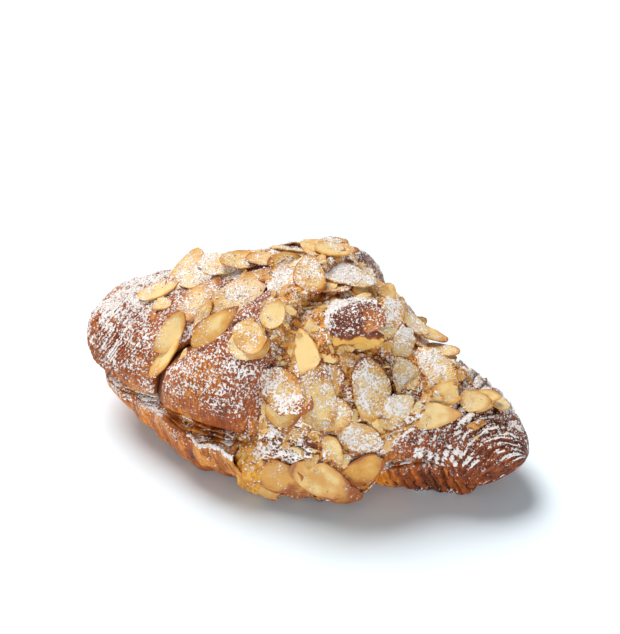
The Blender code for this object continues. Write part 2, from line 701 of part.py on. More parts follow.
def main():
    clear_scene()
    croissant = new_collection("almond_croissant")
    lower = lower_body(croissant, "croissant_lower_half")

    filling = filling_slab(croissant, "frangipane_filling")
    lobe = new_collection("lobe", helper=True)
    ball(lobe, "ooze", OOZE_CENTRE, OOZE_HALF_SIZE)
    combine(filling, lobe, "UNION")
    room = new_collection("room_for_filling", helper=True)
    lower_body(room, "lower_room", ROOM)
    upper_body(room, "upper_room", ROOM)
    combine(filling, room, "DIFFERENCE")
    tidy_mesh(filling)

    upper = upper_body(croissant, "croissant_upper_half")
    room = new_collection("room_for_upper", helper=True)
    lower_body(room, "lower_room", ROOM)
    combine(upper, room, "DIFFERENCE")
    topping = topping_shell(croissant, "frangipane_topping")
    crust_tree, topping_tree = tree_of([upper]), tree_of([topping])
    rows = [*TOP_FLAKES, *back_rows()]
    on_topping = [row for row in rows if lies_on(topping_tree, crust_tree, row)]
    on_crust = [row for row in rows if row not in on_topping]

    crust_flakes = new_collection("crust_flakes", helper=True)
    frames = lay_flakes(crust_flakes, "crust_flake", on_crust, [upper])
    combine(upper, crust_flakes, "UNION")
    tidy_mesh(upper)

    lumps_on_top = new_collection("topping_lumps", helper=True)
    top = topping_tree.ray_cast(Vector((*NUB_PLACE, 90)) * MM, Vector((0, 0, -1)))[0].z / MM
    nub = ball(lumps_on_top, "nub", (*NUB_PLACE, top + NUB_RISE), NUB_HALF_SIZE, NUB_TURN)
    lay_flakes(lumps_on_top, "topping_flake", on_topping, [topping, nub, upper])
    ground = [topping, upper, *lumps_on_top.objects]
    lay_flakes(lumps_on_top, "drape_flake", DRAPE_FLAKES, ground, from_front=True)
    combine(topping, lumps_on_top, "UNION")
    room = new_collection("room_for_topping", helper=True)
    lower_body(room, "lower_room", ROOM)
    upper_body(room, "upper_room", ROOM)
    filling_slab(room, "filling_room", ROOM)
    ball(room, "ooze_room", OOZE_CENTRE, [size + GAP for size in OOZE_HALF_SIZE])
    for number, (frame, row) in enumerate(zip(frames, on_crust)):
        flake(room, f"flake_room_{number:02d}", frame, row[3], row[4], GAP)
    combine(topping, room, "DIFFERENCE")
    tidy_mesh(topping)

    finish(upper, (0.45, 0.20, 0.07), 0.6)
    finish(lower, (0.42, 0.19, 0.07), 0.6)
    finish(filling, (0.72, 0.45, 0.14), 0.5)
    finish(topping, (0.72, 0.50, 0.25), 0.6)


main()
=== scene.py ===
"""The looks of an almond croissant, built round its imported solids.

The croissant is split along its length, filled with frangipane, closed, topped with more frangipane
and flaked almonds, baked again and dusted with icing sugar. Sizes are millimetres unless a name says
otherwise, X runs along the croissant, the front is -Y, and it rests on Z = 0.
"""

from __future__ import annotations

import itertools
import logging
import math
from collections.abc import Callable, Iterable, Sequence
from dataclasses import dataclass
from enum import Enum

import bpy
import numpy as np
from mathutils import Matrix, Vector
from mathutils.bvhtree import BVHTree
from mathutils.kdtree import KDTree


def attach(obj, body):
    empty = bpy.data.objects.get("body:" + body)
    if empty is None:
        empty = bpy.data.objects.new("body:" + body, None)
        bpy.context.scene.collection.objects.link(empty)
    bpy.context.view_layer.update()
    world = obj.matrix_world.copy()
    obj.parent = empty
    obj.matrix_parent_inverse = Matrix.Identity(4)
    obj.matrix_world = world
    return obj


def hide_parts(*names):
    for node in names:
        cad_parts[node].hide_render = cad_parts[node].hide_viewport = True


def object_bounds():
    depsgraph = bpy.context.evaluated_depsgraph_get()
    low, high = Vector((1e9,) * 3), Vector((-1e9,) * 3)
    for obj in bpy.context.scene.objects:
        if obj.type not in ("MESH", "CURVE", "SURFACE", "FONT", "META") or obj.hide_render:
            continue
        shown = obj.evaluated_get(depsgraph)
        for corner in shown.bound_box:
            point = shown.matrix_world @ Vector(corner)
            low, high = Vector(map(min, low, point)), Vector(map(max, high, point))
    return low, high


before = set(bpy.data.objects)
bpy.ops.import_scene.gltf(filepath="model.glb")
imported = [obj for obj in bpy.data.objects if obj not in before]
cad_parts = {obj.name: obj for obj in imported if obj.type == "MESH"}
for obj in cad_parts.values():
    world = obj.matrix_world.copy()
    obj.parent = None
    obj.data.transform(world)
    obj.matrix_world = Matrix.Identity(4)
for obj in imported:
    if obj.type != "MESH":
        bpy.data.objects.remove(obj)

CAD_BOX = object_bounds()
LOG = logging.getLogger("almond_croissant")

MM = 0.001
PICTURE_WIDTH, PICTURE_HEIGHT = 620, 634  # pixels
UPPER_GIRTH = 34  # skin of the upper half to a radian round it
LOWER_GIRTH = 70  # skin of the lower half from rim to rim
LINE_STEP = 3  # between the noise of one numbered line and the next
BLUNT = 2.4  # power of the left end's rounding, blunter than an ellipse's 2
CELL_PRIMES = (73856093, 19349663, 83492791)
SEED_STEP, SEED_START = 40503, 12345
SCRAMBLE = 1274126177
RAY_START = 90  # from where rays are cast, clear of the croissant

PI = math.pi
Points = np.ndarray
Object = bpy.types.Object
Pair = tuple[float, float]
Triple = tuple[float, float, float]
Colour = Triple


def srgb(red: int, green: int, blue: int) -> Colour:
    """The linear colour for the channels, 0 to 255, as a picture stores them."""
    shares = (channel / 255 for channel in (red, green, blue))
    return tuple(s / 12.92 if s <= 0.04045 else ((s + 0.055) / 1.055) ** 2.4 for s in shares)


# ---- Curves and noise


def smooth_curve(xs: Sequence[float], values: Sequence[float]) -> Callable[[Points], Points]:
    """A curve through the points that never overshoots them.

    Args:
        xs, values: The points, with xs rising.

    Returns:
        A function of place.
    """
    xs, values = np.array(xs, float), np.array(values, float)
    slope = np.diff(values) / np.diff(xs)
    before, after = slope[:-1], slope[1:]
    same_way = before * after > 0
    bend = np.where(same_way, 2 * before * after / np.where(same_way, before + after, 1), 0)
    tangent = np.concatenate([slope[:1], bend, slope[-1:]])

    def value(x: Points) -> Points:
        """The curve's value at each place.

        Args:
            x: The places.

        Returns:
            The values.
        """
        x = np.clip(x, xs[0], xs[-1])
        i = np.clip(np.searchsorted(xs, x) - 1, 0, len(xs) - 2)
        width = xs[i + 1] - xs[i]
        t = (x - xs[i]) / width
        start = values[i] * (1 + 2 * t) * (1 - t) ** 2
        end = values[i + 1] * t * t * (3 - 2 * t)
        return start + end + width * t * (1 - t) * (tangent[i] * (1 - t) - tangent[i + 1] * t)

    return value


def curves_of(stations: Sequence[Sequence[float]]) -> list[Callable[[Points], Points]]:
    """One curve along x for each column after the first of a table whose rows start with their x."""
    columns = np.array(stations, float).T
    return [smooth_curve(columns[0], column) for column in columns[1:]]


def ramp(x: Points, low: float, high: float) -> Points:
    """0 below low, 1 above high, smooth between."""
    t = np.clip((x - low) / (high - low), 0, 1)
    return t * t * (3 - 2 * t)


def signed_power(value: Points, power: float) -> Points:
    """The power of the value's size, with its sign kept."""
    return np.sign(value) * np.abs(value) ** power


def rough(points: Points, pitch: float, seed: int = 0) -> Points:
    """Smooth seeded noise from -1 to 1, the same on every run.

    Args:
        points: One row of up to three coordinates for each place.
        pitch: Size of a lump, in the coordinates' unit.
        seed: Which noise.

    Returns:
        One value for each place.
    """
    scaled = np.asarray(points, float) / pitch
    cell = np.floor(scaled).astype(np.int64)
    share = scaled - cell
    share = share * share * (3 - 2 * share)
    total = np.zeros(len(scaled))
    for corner in itertools.product((0, 1), repeat=scaled.shape[1]):
        key = np.full(len(scaled), seed * SEED_STEP + SEED_START, np.int64)
        weight = np.ones(len(scaled))
        for axis, step in enumerate(corner):
            key ^= (cell[:, axis] + step) * CELL_PRIMES[axis]
            weight *= share[:, axis] if step else 1 - share[:, axis]
        key = ((key ^ (key >> 13)) * SCRAMBLE) & 0xFFFFFFFF
        total += weight * (((key ^ (key >> 16)) & 0xFFFF) / 32767.5 - 1)
    return total


def layered(points: Points, pitch: float, octaves: int, seed: int = 0) -> Points:
    """Noise of about -1 to 1 in layers, each with half the pitch and half the height of the last."""
    layers = (rough(points, pitch / 2**i, seed + i) / 2**i for i in range(octaves))
    return sum(layers) / (2 - 2 ** (1 - octaves))


@dataclass(frozen=True)
class Grain:
    """One kind of unevenness."""

    strength: float
    pitch: float  # size of its largest lumps
    octaves: int  # how many layers, each finer
    seed: int

    def on(self, points: Points, share: Points | float = 1.0) -> Points:
        """Its value at each place, times a share."""
        return share * self.strength * layered(points, self.pitch, self.octaves, self.seed)


def pairs(first: Points, second: Points) -> Points:
    """Rows of two coordinates, as noise takes them."""
    return np.stack([first, second], 1)


def along_lines(line: Points, tilt: Points) -> Points:
    """Coordinates for noise along numbered lines of the upper half, different on each line."""
    return pairs(LINE_STEP * np.floor(line), UPPER_GIRTH * tilt)


def bell(away: Points) -> Points:
    """1 at a distance of 0, falling smoothly to almost nothing at 2."""
    return np.exp(-(away**2))


def ends_of(stations: Sequence) -> Pair:
    """Where a table of stations starts and ends along x."""
    return stations[0][0], stations[-1][0]


# ---- Form of the two halves


def end_rounding(x: Points, stations: Sequence, left: float, right: float) -> Points:
    """1 along the body, falling to 0 at both ends as a quarter of an ellipse does.

    Args:
        x: Places along the croissant.
        stations: The body's table.
        left, right: Length over which each end rounds off.

    Returns:
        The share of the full section at each place.
    """
    first, last = ends_of(stations)
    to_left = np.clip(1 - (x - first) / left, 0, 1)
    to_right = np.clip(1 - (last - x) / right, 0, 1)
    return np.sqrt((1 - to_left**BLUNT) * (1 - to_right * to_right))


def turned(around: Points, arc_share: float) -> Points:
    """A share that rises from 0 to 1 over a section's crust, its arc_share, and falls to 0 over its cut."""
    cut_share = max(1 - arc_share, 1e-9)
    return np.where(around <= arc_share, around / arc_share, (1 - around) / cut_share)


@dataclass(frozen=True)
class LowerForm:
    """The lower half: a trough-shaped crust with a frilly rim, cut flat on top.

    In its methods x is a place along the croissant, and turn runs round the crust, from 0 at the rim behind
    to 1 at the rim in front.
    """

    stations: tuple = (
        # x, shift, front, back, rim, keel
        (-73, -7, 13, 14, 19, 14.5),
        (-60, -4, 23, 25, 20, 9),
        (-45, -2, 32, 33, 22, 4),
        (-26, -1, 40.5, 39, 20.5, 0.6),
        (-12, 0, 41.5, 41, 21, 0),
        (4, 0, 38, 41, 18, 0),
        (20, 0, 32.5, 37, 15, 0),
        (36, -1, 25.5, 29, 14.5, 0),
        (46, -2, 19.5, 24, 17, 0),
        (56, -2, 15.5, 20, 17, 0),
        (62, -2.5, 14, 17, 17, 0),
        (68, -3, 9, 12, 15, 3),
    )
    left_cap: float = 8
    right_cap: float = 2.5
    wall_rounding: float = 0.3
    floor_rounding: float = 0.55
    floor_drop: float = 1.12  # how early the wall reaches the floor
    undercut_x: float = 34
    undercut_half_length: float = 9
    undercut: float = 0.3
    notch_x: float = -5.5
    notch_half_length: float = 6.0
    notch_depth: float = 8.0
    notch_edge: Pair = (1.5, 1.0)  # how far its edge slopes in and out
    flute_pitch: float = 9.0
    flute_depth: float = 0.45
    rim_flare: float = 1.6
    frill_pitch: float = 13.0
    frill_depth: float = 0.8
    frill_wander: float = 1.2
    frill_wander_pitch: float = 4.0
    ledge: Grain = Grain(0.35, 4.0, 3, 31)
    groove_pitch: float = 3.4  # of the grooves down the wall of the right arm
    groove_depth: float = 1.7
    groove_sweep: float = 12  # how far along x they run from rim to rim
    groove_wander: Grain = Grain(0.5, 4, 1, 13)
    leaf_pitch: float = 1.5  # of the thin leaves that show along the wall below the rim
    leaf_depth: float = 0.28
    leaf_room: float = 14  # height of the wall that they fill
    leaf_wander: Grain = Grain(0.8, 14, 2, 5)
    streak_slant: float = 0.22
    streak_stretch: float = 9
    streaks: Grain = Grain(0.28, 2.6, 3, 8)
    swells: Grain = Grain(0.35, 8, 1, 12)
    tear_slant: float = 0.5
    tear_stretch: float = 18
    tears: Grain = Grain(0.7, 5.5, 3, 9)

    def notch_at(self, x: Points) -> Points:
        """1 in the tear of the front crust, 0 away from it."""
        near, far = self.notch_half_length - self.notch_edge[0], self.notch_half_length + self.notch_edge[1]
        return 1 - ramp(np.abs(x - self.notch_x), near, far)

    def point(self, x: Points, around: Points, arc_share: float, detail: float = 1.0) -> tuple:
        """A point of the body: the crust for around below arc_share, then back along the cut.

        Args:
            x, around: Place along it, and share of the way round the section.
            arc_share: Share of the section that is crust.
            detail: How much of the fine relief is on it.

        Returns:
            x, y, z, the turn, and the fine relief.
        """
        shift_of, front_of, back_of, rim_of, keel_of = curves_of(self.stations)
        cap = end_rounding(x, self.stations, self.left_cap, self.right_cap)
        rim, keel = rim_of(x), keel_of(x)
        middle = (rim + keel) / 2
        rim, keel = middle + (rim - middle) * cap, middle + (keel - middle) * cap
        on_crust = around <= arc_share
        turn = turned(around, arc_share)
        across, down = np.cos(turn * PI), np.sin(turn * PI)
        undercut = self.undercut * bell((x - self.undercut_x) / self.undercut_half_length)
        front = front_of(x) - self.notch_depth * self.notch_at(x)
        half_width = np.where(turn > 0.5, front, back_of(x)) * cap
        wander = self.frill_wander * np.sin(x / self.frill_wander_pitch)
        wave = np.sin(2 * PI * x / self.frill_pitch + wander)
        frill = self.rim_flare + self.frill_depth * wave
        flutes = self.flute_depth * np.sin(2 * PI * x / self.flute_pitch) * ramp(down, 0.1, 0.4)
        fine = detail * self.fine_relief(x, turn, down) * cap
        wall = half_width + cap * (flutes * (np.abs(across) > 0.3) + frill * (1 - ramp(down, 0.0, 0.3)))
        wall = wall + fine * ramp(rim - keel, 1.0, 4.0)
        y_crust = shift_of(x) + wall * signed_power(across, self.wall_rounding + undercut)
        drop = np.minimum(1, self.floor_drop * down) ** (self.floor_rounding + undercut)
        z_crust = rim - (rim - keel) * drop
        y = np.where(on_crust, y_crust, shift_of(x) + (half_width + cap * frill) * (1 - 2 * turn))
        ledge = self.ledge.on(pairs(x, y), detail) * ramp(rim - keel, 1.0, 4.0)
        z = np.where(on_crust, z_crust, rim + ledge * ramp(np.sin(turn * PI), 0.0, 0.05))
        return x, y, z, turn, fine

    def fine_relief(self, x: Points, turn: Points, down: Points) -> Points:
        """Leaf edges along the wall, blisters and grain of its crust.

        Args:
            x, turn: Where.
            down: 0 at the rims, 1 at the keel.

        Returns:
            Outward offsets.
        """
        skin = pairs(x, LOWER_GIRTH * turn)
        leaf = down * self.leaf_room + self.leaf_wander.on(skin)
        phase = (leaf / self.leaf_pitch) % 1
        leaves = self.leaf_depth * ramp(phase, 0.0, 0.75) * (1 - ramp(phase, 0.86, 1.0))
        leaves = leaves * (1 - ramp(down, 0.25, 0.55))
        aside = np.abs(turn - 0.5)
        streaks = pairs(x + self.streak_slant * LOWER_GIRTH * aside, self.streak_stretch * turn)
        grain = self.streaks.on(streaks) + self.swells.on(skin)
        slanted = pairs(x + self.tear_slant * LOWER_GIRTH * aside, self.tear_stretch * turn)
        torn = self.tears.on(slanted) * (1 - ramp(x, 20, 34))
        swept = x + self.groove_sweep * turn + self.groove_wander.on(skin)
        groove = np.abs(np.sin(PI * swept / self.groove_pitch))
        grooves = self.groove_depth * (groove**0.7 - 0.7) * ramp(x, 24, 34)
        return (leaves + grain + torn + grooves) * (1 - ramp(down, 0.85, 0.97))


@dataclass(frozen=True)
class UpperForm:
    """The upper half: rolls of laminated dough over a flat cut, with both of the croissant's tips.

    In its methods x is a place along the croissant, and place is where a line round the crust crosses the
    crown. tilt is radians round from the crown, positive to the front, and turn runs from 0 at the cut
    behind to 1 at the cut in front.
    """

    lower: LowerForm = LowerForm()
    stations: tuple = (
        # x, shift, front, back, crown, keel
        (-81, -6, 13, 15, 38, 20),
        (-68, -5, 19, 21, 42, 15),
        (-54, -3, 27, 30, 47, 9),
        (-38, -1, 34, 38, 52, 4),
        (-18, 0, 38, 44, 58, 1),
        (4, 0, 39, 43, 61, 0),
        (24, 0, 35, 38, 55, 0),
        (38, -1, 26, 29, 44, 0),
        (54, -2, 18, 22, 37, 1),
        (68, -3, 14, 17, 31, 2.5),
        (82, -3, 10, 12, 26, 9),
    )
    filling_stations: tuple = ((-62, 2.0), (-40, 4.0), (0, 5.0), (36, 4.0), (53, 2.0))
    gap: float = 0.35
    left_cap: float = 11
    right_cap: float = 17
    steepest: float = 0.8
    waist_share: float = 0.42
    roll_edges: tuple = (
        # place on the crown, lead to the front, lead to the back, furthest lean to the front
        (-81, 0, 0, 1.6),
        (-72, 3, 2, 1.6),
        (-54, 14, 8, 1.1),
        (-13, 30, 14, 1.03),
        (1, 6.5, 9, 1.6),
        (45, 13, 3, 1.6),
        (58, 10, 1, 1.6),
        (73, 3, 0, 1.6),
        (82, 0, 0, 1.6),
    )
    rolls: tuple = (
        # first edge, last edge, how far its edges stand out, how far its middle bulges beyond that
        (0, 2, 0.0, 0.8),
        (2, 3, -0.3, 2.4),
        (3, 4, 2.2, 3.2),
        (4, 5, -3.4, 1.4),
        (5, 8, 0.2, 1.2),
    )
    crevices: tuple = ((2, 0.8, 2.0), (3, 4.0, 2.2), (5, 1.2, 1.8))  # edge, depth, half width
    leaf_pitch: float = 5.2
    leaf_depth: float = 0.9
    left_leaves_end: float = -56
    right_leaves_start: float = 47
    lump: float = 0.45
    back_fade: float = 0.12
    flatter_sides: float = 0.92  # power of the section's width
    thin_leaf_pitch: float = 2.6  # of the cut edges of single leaves on the left tip
    thin_leaf_depth: float = 0.6
    thin_leaf_wander: Grain = Grain(3.4, 9, 3, 3)
    thin_leaf_breaks: Grain = Grain(1.0, 6, 2, 4)
    fold_pitch: float = 4.3  # of the folds that sweep round the right tip
    fold_depth: float = 2.2
    fold_front_slants: Pair = (5.0, 15.0)  # along x for a radian, at x = 50 and at the tip
    fold_back_slant: float = 3
    fold_wander: Grain = Grain(2.4, 13, 2, 14)
    fold_heights: Grain = Grain(0.35, 14, 2, 18)
    fold_grain: Grain = Grain(0.3, 1.5, 2, 19)
    fold_grain_stretch: float = 7
    second_folds: float = 2.7  # finer folds in each fold
    second_depth: float = 0.3
    second_wander: Grain = Grain(0.4, 9, 1, 16)
    bumps: Grain = Grain(0.4, 6, 3, 21)
    fibres: Grain = Grain(0.3, 1.5, 2, 23)
    blisters: Grain = Grain(0.45, 3.2, 3, 25)

    def filling_reach(self, x: Points) -> Points:
        """1 where the filling lies, 0 past its ends."""
        left, right = ends_of(self.filling_stations)
        return ramp(x, left - 5, left) * (1 - ramp(x, right, right + 5))

    def underside(self, x: Points) -> Points:
        """The underside of the upper half.

        Args:
            x: Where.

        Returns:
            Height of the cut face over the filling, and of the keel past the cut's ends.
        """
        rim_of, keel_of = curves_of(self.lower.stations)[3], curves_of(self.stations)[4]
        (filling_of,) = curves_of(self.filling_stations)
        above = rim_of(x) + 2 * self.gap + filling_of(x) * self.filling_reach(x)
        first, last = ends_of(self.lower.stations)
        inside = ramp(x, first - 6, first) * (1 - ramp(x, last - 12, last - 2))
        return keel_of(x) + (above - keel_of(x)) * inside

    def sheared(self, place: Points, lean: Points) -> Points:
        """How the lines round the crust lean along it.

        Args:
            place: Which line.
            lean: Radians round from the crown, negative to the front.

        Returns:
            x of the line there.
        """
        crown_x, front_lead, back_lead, reach = np.array(self.roll_edges, float).T
        front = np.interp(place, crown_x, front_lead)
        back = np.interp(place, crown_x, back_lead)
        furthest = np.interp(place, crown_x, reach)
        return place + front * np.maximum(np.minimum(lean, 0), -furthest) + back * np.maximum(lean, 0)

    def roll_relief(self, place: Points) -> Points:
        """The form of the rolls.

        Args:
            place: Which line round the crust.

        Returns:
            How far out the crust stands along it.
        """
        relief = np.zeros_like(place)
        for first, last, level, puff in self.rolls:
            start, end = self.roll_edges[first][0], self.roll_edges[last][0]
            t = np.clip((place - start) / (end - start), 0, 1)
            inside = (place >= start) & (place < end)
            relief += np.where(inside, level + puff * (4 * t * (1 - t)) ** 0.6, 0)
        saw = 1 - 2 * np.abs((place / self.leaf_pitch) % 1 - 0.5)
        at_left = ramp(-place, -self.left_leaves_end, 4 - self.left_leaves_end)
        at_right = ramp(place, self.right_leaves_start, 4 + self.right_leaves_start)
        return relief - self.crevice(place) + self.leaf_depth * (saw - 0.5) * (at_left + at_right)

    def crevice(self, place: Points) -> Points:
        """Depth of the crevices between rolls."""
        edges = self.roll_edges
        return sum(depth * bell((place - edges[i][0]) / half) for i, depth, half in self.crevices)

    def lumps(self, x: Points, lean: Points) -> Points:
        """Slow unevenness of the crust."""
        wave = np.sin(x / 5.3 + 2.1 * lean) * np.cos(x / 11.0 - 3.4 * lean)
        return self.lump * (wave + 0.6 * np.sin(x / 3.1 + 5.2 * lean))

    def folds(self, place: Points, x: Points, tilt: Points) -> tuple[Points, Points]:
        """Thin leaves on the left tip and swept folds on the right one.

        Args:
            place, x, tilt: Where.

        Returns:
            Outward offsets, and how far up its own fold each point is, 0 to 1.
        """
        skin = pairs(x, UPPER_GIRTH * tilt)
        leaf = (place + self.thin_leaf_wander.on(skin)) / self.thin_leaf_pitch
        thin = ramp(leaf % 1, 0.0, 0.55) * (1 - ramp(leaf % 1, 0.8, 1.0))
        height = 0.5 + 0.9 * ramp(self.thin_leaf_breaks.on(along_lines(leaf, tilt)), -0.4, 0.5)
        left = ramp(-x, 46, 62)
        fold = self.fold_at(x, tilt)
        line = pairs(self.fold_pitch * fold, self.fold_grain_stretch * tilt)
        stands = 0.75 + self.fold_heights.on(along_lines(fold, tilt))
        swept = stands * np.abs(np.sin(PI * fold)) ** 0.6
        second = np.abs(np.sin(PI * (self.second_folds * fold + self.second_wander.on(skin)))) ** 0.7
        right = ramp(x, 38, 50)
        relief = left * self.thin_leaf_depth * height * (thin - 0.5)
        relief = relief + right * self.fold_depth * (swept - 0.6)
        relief = relief + right * self.second_depth * (second - 0.7)
        relief = relief + self.fold_grain.on(line, right)
        between = (1 - left - right).clip(0)
        rise = left * (0.45 + 0.35 * thin) + right * (0.65 * swept + 0.35 * second) + between * 0.5
        return relief, rise

    def fold_at(self, x: Points, tilt: Points) -> Points:
        """Counts the folds of the right tip.

        Args:
            x, tilt: Where.

        Returns:
            How many lie between x = 0 and each point.
        """
        near, far = self.fold_front_slants
        front = (near + (far - near) * ramp(x, 50, 74)) * np.maximum(tilt, 0)
        slant = front + self.fold_back_slant * np.minimum(tilt, 0)
        wander = self.fold_wander.on(pairs(x, UPPER_GIRTH * tilt))
        return (x + slant + wander) / self.fold_pitch

    def skin_relief(self, x: Points, tilt: Points) -> Points:
        """Blisters and the grain that runs round the rolls.

        Args:
            x, tilt: Where.

        Returns:
            Outward offsets.
        """
        skin = pairs(x, UPPER_GIRTH * tilt)
        round_rolls = pairs(x + 5 * tilt, 6 * tilt)
        relief = self.bumps.on(skin) + self.fibres.on(round_rolls) + np.maximum(self.blisters.on(skin), 0)
        return relief * (1 - 0.75 * ramp(x, 40, 52))

    def cut_meeting(self, x: Points) -> tuple[Points, Points]:
        """Where the crust meets the cut.

        Args:
            x: Where.

        Returns:
            The angle round the section, and the height.
        """
        *_, crown_of, keel_of = curves_of(self.stations)
        cap = end_rounding(x, self.stations, self.left_cap, self.right_cap)
        crown, keel = crown_of(x), keel_of(x)
        waist = keel + self.waist_share * (crown - keel)
        drop = self.underside(x) - waist
        radius = np.where(drop > 0, crown - waist, waist - keel) * cap + 1e-6
        share = np.clip(drop / radius, -self.steepest, self.steepest)
        return np.arcsin(share), waist + share * radius

    def crust(self, place: Points, turn: Points, grow: Points | float = 0.0, detail: float = 1.0) -> tuple:
        """A point of the crust.

        Args:
            place, turn: Where.
            grow: How far outside the crust.
            detail: How much of the fine relief is on it.

        Returns:
            x, y, z, the tilt, the crevice's depth there, and how far up its fold it is.
        """
        shift_of, front_of, back_of, crown_of, keel_of = curves_of(self.stations)
        x = self.sheared(place, PI * (0.5 - turn))
        dip, _ = self.cut_meeting(x)
        angle = dip + turn * (PI - 2 * dip)
        tilt = angle - PI / 2
        fade = ramp(turn, 0.0, self.back_fade)
        relief = (self.roll_relief(place) + self.lumps(x, tilt)) * fade
        folds, fold_share = self.folds(place, x, tilt)
        fine = detail * (folds + self.skin_relief(x, tilt)) * fade
        cap = end_rounding(x, self.stations, self.left_cap, self.right_cap)
        crown, keel = crown_of(x), keel_of(x)
        waist = keel + self.waist_share * (crown - keel)
        up, across = np.sin(angle), np.cos(angle)
        half_width = np.where(across < 0, front_of(x), back_of(x)) * cap
        half_height = np.where(up > 0, crown - waist, waist - keel) * cap
        offset = cap * (relief * ramp(up, -0.15, 0.35) + fine * ramp(up, -0.95, -0.3)) + grow
        normal = np.hypot(across * half_height, up * half_width) + 1e-9
        outward = offset * across * half_height / normal
        y = shift_of(x) + half_width * signed_power(across, self.flatter_sides) + outward
        z = waist + half_height * up + offset * up * half_width / normal
        return x, y, z, tilt, self.crevice(place) * fade, fold_share

    def point(self, place: Points, around: Points, arc_share: float, detail: float = 1.0) -> tuple:
        """A point of the upper half: the crust for around below arc_share, then back along the cut.

        Args:
            place, around: Which line round it, and share of the way round the section.
            arc_share: Share of the section that is crust.
            detail: How much of the fine relief is on it.

        Returns:
            What crust returns.
        """
        on_crust = around <= arc_share
        turn = turned(around, arc_share)
        crust = self.crust(place, turn, detail=detail)
        back = self.crust(place, np.zeros_like(turn), detail=detail)
        front = self.crust(place, np.ones_like(turn), detail=detail)
        x, y, z = (
            np.where(on_crust, c, b + turn * (f - b))
            for c, b, f in zip(crust[:3], back[:3], front[:3])
        )
        straight = self.cut_meeting(back[0])[1] * (1 - turn) + self.cut_meeting(front[0])[1] * turn
        z = z + np.where(on_crust, 0, self.cut_meeting(x)[1] - straight)
        tilt = np.where(on_crust, crust[3], -PI + 2 * PI * turn)
        return x, y, z, tilt, np.where(on_crust, crust[4], 0), np.where(on_crust, crust[5], 0.5)


@dataclass(frozen=True)
class SpreadForm:
    """The frangipane on top: from the proud roll to the right arm, and hanging down the front."""

    upper: UpperForm = UpperForm()
    left: float = 1.2
    left_on_top: float = -8.0  # where it laps over the proud roll
    right: float = 60.0
    back_lean: float = 0.75
    thickness: float = 2.2
    sunk: float = 1.6
    shell: float = 4.5
    lump: float = 0.6
    lump_pitch: float = 15.0
    sheet_size: Pair = (60, 150)
    edge_wander: Grain = Grain(0.02, 9, 3, 41)
    hills: Grain = Grain(0.8, 6, 3, 43)
    clefts: Grain = Grain(0.9, 3, 3, 47)
    crumb_level: float = 0.3
    fine_crumb: Grain = Grain(0.42, 1.7, 2, 49)
    crust_detail: float = 0.4  # how much of the crust's fine relief shows through
    drape_share: float = 0.3
    drape_left: float = 0.09
    drape_right: float = 0.86
    drape_bottom: float = 4.0
    drape_slope: float = 1.6
    drape_tuck: float = 3.0
    drape_raise: float = 9.0

    def point(self, along: Points, down: Points) -> tuple[Points, Points, Points, Points]:
        """A point of the outer face.

        Args:
            along: Share of the way from the proud roll to the right tip.
            down: Share of the way from the back edge to the foot.

        Returns:
            x, y, z and the height of the crumb there.
        """
        sheet = pairs(along * self.sheet_size[0], down * self.sheet_size[1])
        along = np.clip(along + self.edge_wander.on(sheet), 0, 1)
        lower = self.upper.lower
        left = self.left_on_top + (self.left - self.left_on_top) * ramp(down, 0.3, 0.46)
        place = left + along * (self.right - left)
        back_turn = 0.5 - self.back_lean / PI
        over = np.clip(down / (1 - self.drape_share), 0, 1)
        left_limit = self.drape_left * ramp(down, 0.5, 1 - self.drape_share)
        right_limit = 1 - (1 - self.drape_right) * ramp(down, 0.5, 1 - self.drape_share / 2)
        edge = ramp(along - left_limit, 0, 0.05) * ramp(down, 0.0, 0.12)
        edge = edge * (1 - ramp(along - right_limit, -0.1, 0.0))
        wave = np.sin(2 * PI * place / self.lump_pitch + 3 * down) * np.sin(14 * down + place / 5)
        past = ramp(along - right_limit, -0.02, 0.06) * ramp(down, 0.5, 0.75)
        sunk = self.sunk + self.drape_tuck * past
        crumb = self.hills.on(sheet) + np.abs(self.clefts.on(sheet)) - self.crumb_level
        crumb = crumb + self.fine_crumb.on(sheet)
        thick = (self.thickness + self.lump * wave + crumb + sunk) * edge - sunk
        turn = back_turn + over * (1 - back_turn)
        x, y, z, *_ = self.upper.crust(place, turn, thick, self.crust_detail)
        hang = np.clip((down - (1 - self.drape_share)) / self.drape_share, 0, 1)
        foot = thick * (1 - 0.6 * ramp(hang, 0.8, 1.0))
        foot = np.where(foot < 0, 2 * self.drape_tuck * foot, foot)
        shift_of, front_of, *_ = curves_of(lower.stations)
        wall = shift_of(x) - front_of(x) - lower.rim_flare / 2 + self.drape_slope * hang - foot
        y = y + (np.minimum(y, wall) - y) * ramp(hang, 0.0, 0.25)
        z = z + (self.drape_bottom + self.drape_raise * past - z) * hang
        return x, y, z, crumb


# ---- Working in Blender


def deselect() -> None:
    """Leaves nothing selected, as an operator acts on all that is."""
    bpy.ops.object.select_all(action="DESELECT")


def activate(obj: Object) -> None:
    """Selects one object alone and makes it the active one.

    Args:
        obj: The object.
    """
    deselect()
    obj.select_set(True)
    bpy.context.view_layer.objects.active = obj


def added(operator: Callable, **settings: float) -> Object:
    """Adds one of Blender's primitives.

    Args:
        operator, settings: The operator that adds it, and its settings.

    Returns:
        The object.
    """
    deselect()
    operator(**settings)
    return bpy.context.object


def read(items: bpy.types.bpy_prop_collection, name: str, width: int = 1, kind: type = float) -> Points:
    """Reads one property of many items.

    Args:
        items, name: The items and the property's name.
        width, kind: How many numbers it has, and of what kind.

    Returns:
        A row for each item.
    """
    values = np.empty(len(items) * width, kind)
    items.foreach_get(name, values)
    return values.reshape(-1, width)


def points_of(obj: Object) -> Points:
    """The object's points, one row each, in its own unit."""
    return read(obj.data.vertices, "co", 3)


